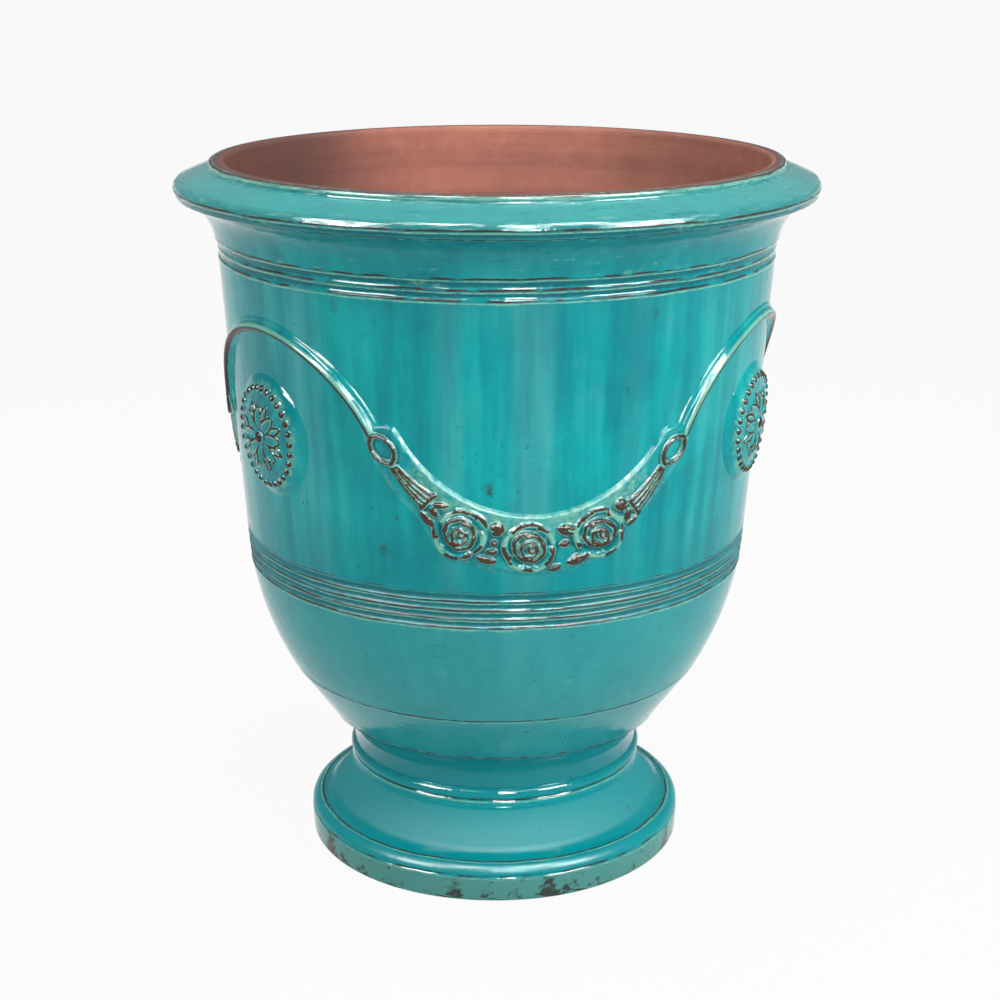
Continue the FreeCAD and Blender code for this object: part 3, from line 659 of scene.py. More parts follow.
@dataclass
class ThrownSection:
    """A section thrown on the wheel: a closed profile turned about the axis, with turned lines.

    A streak is its degrees, half width and strength, and a band is where it starts, is full, fades
    and ends. Pairs of sizes are a radius and a height, and a bulge is how far a curve stands off.
    """

    form: VaseForm
    node: str = ""
    around: int = 320
    lines: tuple[TurnedLine, ...] = ()
    streaks: tuple[Triple, ...] = ()
    clouds: tuple[tuple[int, float], ...] = (
        (4, 0.31), (7, 0.45), (11, 0.22), (17, 0.53), (26, 0.37), (41, 0.61))
    cloud_rate: float = 0.3
    cloud_marks: Pair = (0.0, 0.0)
    dull_band: Four = (296.0, 304.0, 337.0, 345.0)
    dull_most: float = 0.55
    line_margin: float = 3.0
    sharp_bend: float = 0.05
    coarse: int = 10

    def profile(self) -> Profile:
        """The section's closed outline, drawn anticlockwise in radius and height."""
        raise NotImplementedError

    def kept(self, radius: Array, height: Array, bare: Array, shown: Array, run: Array) -> Array:
        """Chooses the outline's points: all near a line or a bend, and every few millimetres elsewhere.

        Args:
            radius: Radii of the outline.
            height: Heights of the outline.
            bare: Bare clay marks.
            shown: 0 on joint faces.
            run: Lengths along the outline.

        Returns:
            True for each point that is kept.
        """
        start = np.zeros(1)
        near = [np.abs(line.far(radius, height, run, shown, start)[:, 0]) < line.reach + self.line_margin
                for line in self.lines]
        slope = np.unwrap(np.arctan2(np.gradient(height), np.gradient(radius)))
        bend = blurred((np.abs(np.gradient(slope)) > self.sharp_bend).astype(float), 1.2) > 0.02
        change = np.abs(np.diff(bare, prepend=bare[-1])) + np.abs(np.diff(shown, prepend=shown[-1])) > 0
        sparse = np.arange(radius.size) % self.coarse == 0
        return np.any(near, axis=0) * (shown > 0) | bend | change | sparse

    def build(self, finish: Material) -> bpy.types.Object:
        """Turns the outline: each kept outline point is carried round a ring of angles.

        Rings close on themselves and the outline closes on its start. The lines move the points
        along the radius.

        Args:
            finish: Material.

        Returns:
            The section's object.
        """
        radius, height, bare, shown = self.profile().arrays()
        run = np.concatenate([[0], np.cumsum(np.hypot(np.diff(radius), np.diff(height)))])
        keep = self.kept(radius, height, bare, shown, run)
        outline = (radius, height, run, shown)
        angle = np.linspace(0, 2 * np.pi, self.around, endpoint=False)
        ring_h, seen = height[keep][:, None], shown[keep][:, None]
        marks = {key: np.zeros((int(keep.sum()), self.around)) for key in ("crest", "thin", "pool")}
        ring_r = radius[keep][:, None] + self.form.uneven(angle, ring_h)
        for line in self.lines:
            far = line.far(*outline, angle)[keep]
            ring_r = ring_r + line.offset(far, angle) * seen
            for key, values in line.marks(far, angle).items():
                marks[key] = np.maximum(marks[key], values * seen)
        for key, values in self.mottle(angle, run[keep][:, None]).items():
            marks[key] = np.maximum(marks[key], values * seen)
        marks["bare"] = bare[keep][:, None] + 0 * ring_r
        marks["wear"] = self.wear(angle, ring_h) * (1 - marks["bare"])
        marks["milk_and_reflection"] = self.milk_and_reflection(angle) + 0 * ring_r
        marks["dull"] = self.dull(angle, ring_h) + 0 * ring_r
        points = self.form.placed(angle + 0 * ring_r, ring_r, ring_h + 0 * ring_r)
        here = np.arange(ring_r.size).reshape(ring_r.shape)
        over = np.roll(here, -1, axis=0)
        quads = np.stack([here, np.roll(here, -1, axis=1), np.roll(over, -1, axis=1), over], axis=-1)
        return add_piece(self.node + "_thrown", self.node, points, quads.reshape(-1, 4),
                         marks, finish)

    def milk_and_reflection(self, angle: Array) -> Array:
        """Milky runs down the wall, and a painted reflection of the floor down the front of the bowl: a bell
        of each streak's degrees, half width and strength.

        Args:
            angle: Angles in radians round the vase.

        Returns:
            Strengths round the vase.
        """
        total = np.zeros(angle.shape)
        for middle, half, strength in self.streaks:
            total = np.maximum(total, strength * np.exp(-(swung(angle, middle) / half) ** 4))
        return total

    def mottle(self, angle: Array, run: Array) -> dict[str, Array]:
        """Clouds of thin and deep glaze: blotches of both signs.

        Args:
            angle: Angles in radians round the vase.
            run: Lengths along the outline.

        Returns:
            Marks from 0 to 1 by name.
        """
        wave = crossed(angle, self.cloud_rate * run, self.clouds, 2.3, 1.1)
        thin, pool = self.cloud_marks
        return {"thin": thin * eased(0.2, 2.4, wave), "pool": pool * eased(0.2, 2.4, -wave)}

    def dull(self, angle: Array, height: Array) -> Array:
        """Where the glaze has lost its shine: the band round the bowl, but for where hands rub it bright."""
        rubbed = np.cos(1.5 * angle) ** 40
        return self.dull_most * banded(height, *self.dull_band) * (1 - rubbed)

    def wear(self, angle: Array, height: Array) -> Array:
        """Scuffs that darken the glaze; none on most sections."""
        return np.zeros(np.broadcast_shapes(angle.shape, height.shape))


@dataclass
class Foot(ThrownSection):
    """The hollow pedestal: plinth, bead, flare, astragal and neck.

    The heel is how far it stands in on the ground and over it, and its height; the scuff is a mean
    and the sizes of a broad and a fine wave.
    """

    node: str = "foot"
    heel: Triple = (3.2, 0.8, 2.2)
    heel_bulge: float = 0.7
    plinth: Pair = (191.5, 26.0)
    plinth_bulge: float = 0.4
    bead: Pair = (180.5, 37.5)
    bead_bulge: float = 3.3
    step: Pair = (4.5, 0.6)
    astragal: Pair = (148.5, 87.0)
    flare_sag: float = 8.5
    neck: Pair = (146.5, 98.0)
    neck_bulge: float = 2.5
    seat: Pair = (170.0, 141.0)
    neck_sag: float = 7.0
    bore: float = 126.5
    ring: float = 166.5
    bead_band: Four = (26.0, 28.0, 36.0, 38.0)
    bead_dull: float = 0.35
    flare_band: Four = (40.0, 46.0, 74.0, 80.0)
    scuff: Triple = (0.46, 0.28, 0.34)
    scuff_low: Pair = (16.0, 3.0)
    scuff_top: Pair = (26.0, 23.5)
    lines: tuple[TurnedLine, ...] = (
        TurnedLine(26.0, LineKind.GROOVE, 1.3, 1.3, 0.9, gaps=0.7),
        TurnedLine(37.5, LineKind.EDGE, dark=1.0, radius=180.5),
        TurnedLine(79.5, LineKind.RIDGE, 1.2, 0.6, 0.3),
        TurnedLine(87.0, LineKind.GROOVE, 1.3, 1.4, 1.0),
        TurnedLine(98.0, LineKind.GROOVE, 1.2, 0.8, 0.3),
    )

    def profile(self) -> Profile:
        """From the ring's inner edge out along the ground, up the mouldings and down the bore.

        Returns:
            The closed outline.
        """
        (foot_r, plinth_z), (bead_r, bead_z) = self.plinth, self.bead
        ground_in, side_in, rise = self.heel
        made = Profile(self.ring, 0)
        made.joint((foot_r - ground_in, 0)).to(foot_r - side_in, rise, self.heel_bulge)
        made.to(foot_r, plinth_z, self.plinth_bulge).to(bead_r, bead_z, self.bead_bulge)
        made.to(bead_r - self.step[0], bead_z + self.step[1])
        made.to(*self.astragal, -self.flare_sag).to(*self.neck, self.neck_bulge)
        made.to(*self.seat, -self.neck_sag)
        return made.joint((self.bore, self.seat[1]), (self.bore, self.astragal[1]), (self.ring, 0))

    def dull(self, angle: Array, height: Array) -> Array:
        """The flare, which earth and water reach, is duller than the mouldings over and under it."""
        bead = self.bead_dull * banded(height, *self.bead_band)
        return np.maximum(bead, banded(height, *self.flare_band))

    def wear(self, angle: Array, height: Array) -> Array:
        """The plinth is scuffed: uneven patches that grow towards the ground and stop at its groove.

        Args:
            angle: Angles in radians round the vase.
            height: Heights in millimetres.

        Returns:
            Scuffs from 0 to 1.
        """
        mean, broad, fine = self.scuff
        ragged = mean + broad * waver(angle, 4.2) + fine * waver(angle + 0.03 * height, 9.1, (43, 67, 101))
        low = 0.6 + 0.4 * eased(*self.scuff_low, height)
        return np.clip(ragged * low, 0, 1) * eased(*self.scuff_top, height)


@dataclass
class LowerBowl(ThrownSection):
    """The bowl's bottom: floor with its drain, cone and swell up to the middle ridge of the band.

    The spigot is its two radii and its depth, the seat's edge how far it stands under and out and its
    height, and the knee how far the inside stands in from the cone and over it.
    """

    node: str = "lower_bowl"
    cloud_marks: Pair = (0.42, 0.45)
    seat: Pair = (170.0, 141.0)
    cone: Pair = (209.0, 196.0)
    band: Pair = (248.5, 320.6)
    inner: float = 229.5
    floor: Pair = (162.5, 165.0)
    drain: float = 22.0
    spigot: Triple = (96.1, 126.1, 10.0)
    seat_edge: Triple = (1.0, 0.7, 1.4)
    seat_bulge: float = 0.5
    swell: float = 7.0
    knee: Pair = (16.3, 11.6)
    lines: tuple[TurnedLine, ...] = (
        TurnedLine(142.4, LineKind.EDGE, dark=0.8, gaps=0.8),
        TurnedLine(196.0, LineKind.GROOVE, 1.0, 0.9, 0.95),
        TurnedLine(200.5, LineKind.GROOVE, 0.8, 0.4, 0.45),
        TurnedLine(303.2, LineKind.RIDGE, 0.9, 0.5, 0.95),
        TurnedLine(307.55, LineKind.HOLLOW, 3.95, 1.6),
        TurnedLine(311.9, LineKind.EDGE, dark=1.0),
        TurnedLine(316.25, LineKind.HOLLOW, 3.95, 1.6),
        TurnedLine(320.6, LineKind.EDGE, dark=1.0),
    )
    # The streak at the front is a painted reflection of the floor; the others are milky runs.
    streaks: tuple[Triple, ...] = (
        (1.0, 6.0, 0.5), (28.0, 9.0, 0.5), (-40.0, 5.0, 0.4), (110.0, 7.0, 0.5), (170.0, 6.0, 0.5),
        (235.0, 8.0, 0.5))

    def profile(self) -> Profile:
        """From the drain's top down, out under the floor, up the outside, over the tongue and down inside.

        Returns:
            The closed outline.
        """
        (seat_r, seat_z), (cone_r, cone_z), (band_r, band_z) = self.seat, self.cone, self.band
        near, far, drop = self.spigot
        under, out, rise = self.seat_edge
        inner, tongue = self.inner, self.inner + TONGUE
        made = Profile(self.drain, self.floor[1])
        made.joint((self.drain, seat_z), (near, seat_z), (near, seat_z - drop), (far, seat_z - drop),
                   (far, seat_z), (seat_r - under, seat_z))
        made.to(seat_r + out, seat_z + rise, self.seat_bulge)
        made.to(cone_r, cone_z).to(band_r, band_z, self.swell)
        made.joint((tongue, band_z), (tongue, band_z + TONGUE), (inner, band_z + TONGUE), (inner, band_z))
        made.to(cone_r - self.knee[0], cone_z + self.knee[1], -self.swell, bare=1, shown=0)
        return made.joint(self.floor, (self.drain, self.floor[1]))


@dataclass
class UpperBowl(ThrownSection):
    """The tall wall that carries the sprigs, from the band's middle ridge to the frieze's.

    A spot is its degrees, height and reach.
    """

    node: str = "upper_bowl"
    inner_step: float = 0.7
    spot_dark: float = 0.62
    lines: tuple[TurnedLine, ...] = (
        TurnedLine(320.6, LineKind.EDGE, dark=1.0),
        TurnedLine(324.95, LineKind.HOLLOW, 3.95, 1.6),
        TurnedLine(329.3, LineKind.EDGE, dark=1.0),
        TurnedLine(333.65, LineKind.HOLLOW, 3.95, 1.3),
        TurnedLine(338.0, LineKind.EDGE, dark=0.7, wide=0.8),
        TurnedLine(605.6, LineKind.RIDGE, 0.9, 0.5, 1.0, gaps=0.6),
        TurnedLine(610.3, LineKind.HOLLOW, 4.2, 1.6),
        TurnedLine(615.0, LineKind.EDGE, dark=1.0, gaps=0.6),
    )
    # The streak at the front is a painted reflection of the floor; the others are milky runs.
    streaks: tuple[Triple, ...] = (
        (0.5, 4.2, 0.75), (-15.5, 2.4, 0.55), (-47.0, 5.0, 0.6), (21.0, 2.5, 0.35),
        (75.0, 3.0, 0.5), (118.0, 5.0, 0.6), (160.0, 3.5, 0.5), (205.0, 5.0, 0.7), (262.0, 4.0, 0.5))
    spots: tuple[Triple, ...] = (
        (-7.8, 436.0, 9.0), (-38.0, 596.0, 9.0), (24.0, 588.0, 7.0), (-30.0, 372.0, 8.0), (19.0, 520.0, 5.0),
        (92.0, 470.0, 9.0), (140.0, 585.0, 8.0), (200.0, 380.0, 9.0), (268.0, 560.0, 7.0))

    def wear(self, angle: Array, height: Array) -> Array:
        """A few small scars: a bell of each spot's degrees, height and reach.

        Args:
            angle: Angles in radians round the vase.
            height: Heights in millimetres.

        Returns:
            Scars from 0 to 1.
        """
        total = np.zeros(np.broadcast_shapes(angle.shape, height.shape))
        for turn, middle, reach in self.spots:
            round_wall = np.radians(swung(angle, turn)) * self.form.band_radius
            far = np.hypot(round_wall, 0.7 * (height - middle))
            total = np.maximum(total, self.spot_dark * np.exp(-(far / reach) ** 2))
        return total

    def profile(self) -> Profile:
        """From the rabbet out, up the wall, over the tongue and down the throwing-ringed inside.

        Returns:
            The closed outline.
        """
        form = self.form
        low, high = form.band_radius - form.wall, form.collar_radius - form.wall
        base, top = form.band_height, form.collar_height
        made = Profile(low + RABBET, base)
        made.joint((form.band_radius, base)).to(form.collar_radius, top, form.wall_bulge)
        made.joint((high + TONGUE, top), (high + TONGUE, top + TONGUE), (high, top + TONGUE), (high, top))
        return made.joint((low + self.inner_step, base + RABBET), (low + RABBET, base + RABBET),
                          (low + RABBET, base))


@dataclass
class RimCollar(ThrownSection):
    """The collar: frieze, cavetto, rolled rim and upstanding lip.

    The lip's points stand in from the rim's top and out from the mouth, below the lip's height, and
    carry a bulge; those inside also say how bare they are.
    """

    node: str = "rim_collar"
    cloud_rate: float = 1.0
    cloud_marks: Pair = (0.52, 0.6)
    frieze: Pair = (272.3, 626.0)
    under: Pair = (303.0, 662.0)
    rim: Pair = (309.2, 671.0)
    ovolo: Pair = (302.6, 679.5)
    top: Pair = (276.0, 688.5)
    lip: float = 695.5
    mouth: float = 261.0
    cavetto_sag: float = 6.5
    rim_bulges: Triple = (2.2, 2.0, 0.8)
    lip_outside: tuple[Triple, ...] = ((0.4, 3.4, -0.3), (4.6, 0.2, 1.3))
    lip_inside: tuple[Four, ...] = ((4.2, 0.2, 0.2, 0.1), (0.0, 3.6, 1.2, 0.9))
    throat: Pair = (0.6, 6.0)
    inner_step: float = 1.2
    lip_worn: Pair = (693.8, 694.8)
    pits: tuple[tuple[int, float], ...] = ((31, 0.9), (47, 1.4), (73, 0.7), (101, 1.7))
    pitted_from: Pair = (660.0, 663.0)
    smooth_top: Four = (676.0, 679.0, 686.0, 689.0)
    pitted: float = 0.6
    lines: tuple[TurnedLine, ...] = (
        TurnedLine(615.0, LineKind.EDGE, dark=1.0, gaps=0.6),
        TurnedLine(619.8, LineKind.HOLLOW, 4.2, 1.6),
        TurnedLine(624.7, LineKind.RIDGE, 0.9, 0.4, 1.0, gaps=0.6),
        TurnedLine(663.0, LineKind.RIDGE, 0.9, 0.5, 1.0, wide=1.5),
        TurnedLine(666.5, LineKind.HOLLOW, 3.4, 0.8),
        TurnedLine(671.0, LineKind.RIDGE, 0.9, 0.4, 1.0),
        TurnedLine(688.6, LineKind.EDGE, dark=0.35, radius=276.0),
        TurnedLine(694.3, LineKind.EDGE, dark=1.0, radius=273.8, gaps=0.2, wide=2.2),
        TurnedLine(695.3, LineKind.EDGE, dark=1.0, radius=266.5, gaps=0.05, wide=8.0),
    )

    def profile(self) -> Profile:
        """From the rabbet out, up the frieze and cavetto, round the rim, over the lip and down inside.

        Returns:
            The closed outline.
        """
        form = self.form
        inner, base = form.collar_radius - form.wall, form.collar_height
        made = Profile(inner + RABBET, base)
        made.joint((form.collar_radius, base)).to(*self.frieze).to(*self.under, -self.cavetto_sag)
        for stop, bulge in zip((self.rim, self.ovolo, self.top), self.rim_bulges):
            made.to(*stop, bulge)
        for inwards, below, bulge in self.lip_outside:
            made.to(self.top[0] - inwards, self.lip - below, bulge)
        for outwards, below, bulge, bare in self.lip_inside:
            made.to(self.mouth + outwards, self.lip - below, bulge, bare=bare)
        return made.joint((self.mouth - self.throat[0], self.lip - self.throat[1]),
                          (inner + self.inner_step, base + RABBET), (inner + RABBET, base + RABBET),
                          (inner + RABBET, base))

    def dull(self, angle: Array, height: Array) -> Array:
        """The lip's top is worn dull, and pits break the shine of the rim's edges.

        Args:
            angle: Angles in radians round the vase.
            height: Heights in millimetres.

        Returns:
            Shares of lost shine.
        """
        edges = eased(*self.pitted_from, height) * (1 - banded(height, *self.smooth_top))
        pits = crossed(angle, height, self.pits, 1.7, 1.0)
        return np.maximum(eased(*self.lip_worn, height), self.pitted * edges * eased(0.1, 1.4, pits))


@dataclass
class Relief:
    """A field of heights over a patch of the wall in front elevation, shared out among its sprigs.

    Widths are spreads of blurs in millimetres. The drip is the thin skin's spread and how far it moves
    down, and the hem its spread and strength.
    """

    form: VaseForm
    left: float
    right: float
    low: float
    high: float
    tilt: float = 0.0
    pivot: float = 0.0
    step: float = 0.6
    sunk: float = -0.9
    matt: float = 0.0
    soft: float = 0.75
    crest_width: float = 2.2
    broad_widths: Pair = (1.0, 5.0)
    finger: float = 0.25
    drip: Pair = (1.2, 1.4)
    hem: Pair = (1.6, 0.6)
    names: list[str] = field(default_factory=list)

    def __post_init__(self) -> None:
        """Lays the grid out, sunk just below the wall's surface, and turns its own axes by the tilt."""
        across = np.arange(self.left, self.right, self.step)
        up = np.arange(self.low, self.high, self.step)
        self.x, self.z = np.meshgrid(across, up)
        turn = math.radians(self.tilt)
        self.u = self.x * math.cos(turn) - (self.z - self.pivot) * math.sin(turn)
        self.v = self.pivot + self.x * math.sin(turn) + (self.z - self.pivot) * math.cos(turn)
        self.height = np.full(self.x.shape, self.sunk)
        self.owner = np.full(self.x.shape, -1)
        self.dark = np.zeros(self.x.shape)
        self.pale = np.zeros(self.x.shape)

    def local(self, u: float, v: float, turn: float) -> tuple[Array, Array]:
        """Grid coordinates along and across a direction.

        Args:
            u: Centre across the elevation.
            v: Centre's height.
            turn: Direction in degrees, anticlockwise from the right.

        Returns:
            Distances along and across the direction.
        """
        angle = math.radians(turn)
        du, dv = self.u - u, self.v - v
        return du * math.cos(angle) + dv * math.sin(angle), dv * math.cos(angle) - du * math.sin(angle)

    def press(self, name: str, height: Array, dark: Array | float = 0.0, pale: Array | float = 0.0) -> None:
        """Presses a sprig on: it shows wherever it is higher than what is there.

        The first sprig is the ground, whose marks run on past its edge.

        Args:
            name: The sprig's name.
            height: Its heights over the wall, low where it isn't.
            dark: How far the glaze breaks to brown on it, besides its crests, or less on them if negative.
            pale: How far the glaze thins on it, besides the skin below its crests.
        """
        higher = height > self.height
        marked = higher if self.names else np.ones_like(higher)
        if name not in self.names:
            self.names.append(name)
        self.height = np.where(higher, height, self.height)
        self.owner = np.where(higher, self.names.index(name), self.owner)
        self.dark = np.where(marked, dark, self.dark)
        self.pale = np.where(marked, pale, self.pale)

    def standing(self, ground: Array, narrow: float, wide: float) -> Array:
        """How far the relief stands over its surroundings: a narrow blur less a wide one, less the ground's.

        Args:
            ground: Heights of the plain clay under the sprigs.
            narrow: Spread of the narrow blur in millimetres.
            wide: Spread of the wide one.

        Returns:
            Heights, positive on a crest and negative in a hollow.
        """
        narrow, wide = narrow / self.step, wide / self.step
        return (blurred(self.height, narrow) - blurred(self.height, wide)
                - blurred(ground, narrow) + blurred(ground, wide))

    def settle(self, ground: Array) -> None:
        """Softens the relief as glaze does, finds its crests and pools, and spreads owners to the edges.

        Fingers leave the pressed clay a little uneven, in crossed sines. What stands over its near
        surroundings is a crest, and over its wider ones a broad height. Blotches, crossed sines of
        about 14 mm, drown some crests in glaze. The thin skin is the crests' blur, moved down the
        wall, and a weaker hem round them. The ground is matt in blotches too.

        Args:
            ground: Heights of the plain clay under the sprigs, whose edges aren't crests.
        """
        step = self.step
        fine = blurred(self.height, self.soft / step)
        proud = self.standing(ground, self.soft, self.crest_width)
        wave = np.sin(1.31 * self.x + 0.52 * self.z + 1.0) * np.sin(1.17 * self.z - 0.43 * self.x + 2.0)
        self.height = fine + self.finger * eased(0.5, 2.5, fine - blurred(ground, self.soft / step)) * wave
        broad = self.standing(ground, *self.broad_widths)
        blotch = np.sin(0.47 * self.x + 0.23 * self.z) * np.sin(0.41 * self.z - 0.19 * self.x + 1.3)
        blotch = blotch + 0.5 * wave
        drowned = blotch.clip(0)
        crest = np.maximum(eased(0.16 * drowned, 0.28 + 0.3 * drowned, proud),
                           0.8 * eased(0.45 + 0.6 * drowned, 1.5 + 0.6 * drowned, broad))
        ground_share = blurred((self.owner <= 0).astype(float), 1.0 / step)
        spread, drop = self.drip
        below = np.roll(blurred(crest, spread / step), -int(round(drop / step)), axis=0)
        above_wall = eased(-0.6, 0.4, fine)
        spread, strength = self.hem
        hem = strength * eased(0.05, 0.30, blurred(crest, spread / step)) * (1 - crest)
        thin = np.clip(np.maximum(np.maximum(below * 1.5, hem), self.pale), 0, 1) * above_wall
        dark = np.maximum(crest + self.dark.clip(None, 0), self.dark).clip(0)
        self.marks = {"crest": dark, "pool": eased(0.12, 0.75, -proud), "thin": thin,
                      "dull": self.matt * ground_share * eased(-0.5, 0.4, blotch)}
        for _ in range(5):
            for shift, axis in ((1, 0), (-1, 0), (1, 1), (-1, 1)):
                self.owner = np.where(self.owner < 0, np.roll(self.owner, shift, axis), self.owner)

    def piece(self, name: str, node: str, turn: float, slot: Slot,
              finish: Material) -> bpy.types.Object:
        """Makes one sprig: the grid cells it owns, their copy sunk in the wall and a skirt between.

        A grid point at x, z stands at the angle asin(x / wall radius) from the ornament's middle,
        moved out along the wall's normal by its height.

        Args:
            name: The sprig's name in this relief.
            node: CAD node.
            turn: Degrees round the vase.
            slot: Material slot; not used.
            finish: Material.

        Returns:
            The sprig's object.
        """
        cells = (self.owner[:-1, :-1] == self.names.index(name)) & (self.height[:-1, :-1] > self.sunk + 0.12)
        rows, cols = self.x.shape
        number = np.arange(rows * cols).reshape(rows, cols)
        corner = [number[:-1, :-1], number[:-1, 1:], number[1:, 1:], number[1:, :-1]]
        front = np.stack([c[cells] for c in corner], axis=-1)
        ring = np.pad(cells, 1)
        outside = [~ring[:-2, 1:-1], ~ring[1:-1, 2:], ~ring[2:, 1:-1], ~ring[1:-1, :-2]]
        under = rows * cols
        skirt = []
        for k, gone in enumerate(outside):
            edge = cells & gone
            first, second = corner[k][edge], corner[(k + 1) % 4][edge]
            skirt.append(np.stack([second, first, first + under, second + under], axis=-1))
        quads = np.concatenate([front, front[:, ::-1] + under] + skirt)
        used, quads = np.unique(quads, return_inverse=True)
        height = np.concatenate([self.height.ravel(), np.full(under, self.sunk - 0.6)])[used]
        x, z = self.x.ravel()[used % under], self.z.ravel()[used % under]
        wall = self.form.wall_radius(z)
        angle = math.radians(turn) + np.arcsin(x / wall)
        tilt = self.form.wall_radius(z + 1) - wall
        radius = wall + self.form.uneven(angle, z) + height / np.sqrt(1 + tilt * tilt)
        points = self.form.placed(angle, radius, z - height * tilt)
        marks = {key: values.ravel()[used % under] for key, values in self.marks.items()}
        return add_piece(node + "_pressed", node, points, quads.reshape(-1, 4), marks, finish, 100.0)


def edged(edge: Array, reach: float) -> Array:
    """A quarter round: 0 at an edge, rising as a circle to 1 at the reach inside it.

    Args:
        edge: Distance inside the edge.
        reach: Width of the round.

    Returns:
        Shares from 0 to 1.
    """
    return np.sqrt(np.clip(1 - (1 - edge / reach).clip(0) ** 2, 0, 1))


@dataclass
class Ornament:
    """Sprigs pressed on three times round the vase, on a ground of plain glaze."""

    form: VaseForm
    title: str = "{name}_{side}"
    turns: tuple[tuple[str, Turn], ...] = (
        ("right", Turn.RIGHT_MEDALLION), ("back", Turn.BACK_MEDALLION), ("left", Turn.LEFT_MEDALLION))

    def relief(self) -> Relief:
        """The ornament's settled field, whose first sprig is the ground."""
        raise NotImplementedError

    def build(self, finish: Material) -> None:
        """Sets the sprigs round the vase.

        Args:
            finish: Material.
        """
        made = self.relief()
        for side, turn in self.turns:
            for name in made.names:
                slot = Slot.TURQUOISE if name == made.names[0] else Slot.BROKEN
                made.piece(name, self.title.format(name=name, side=side), turn.value, slot, finish)


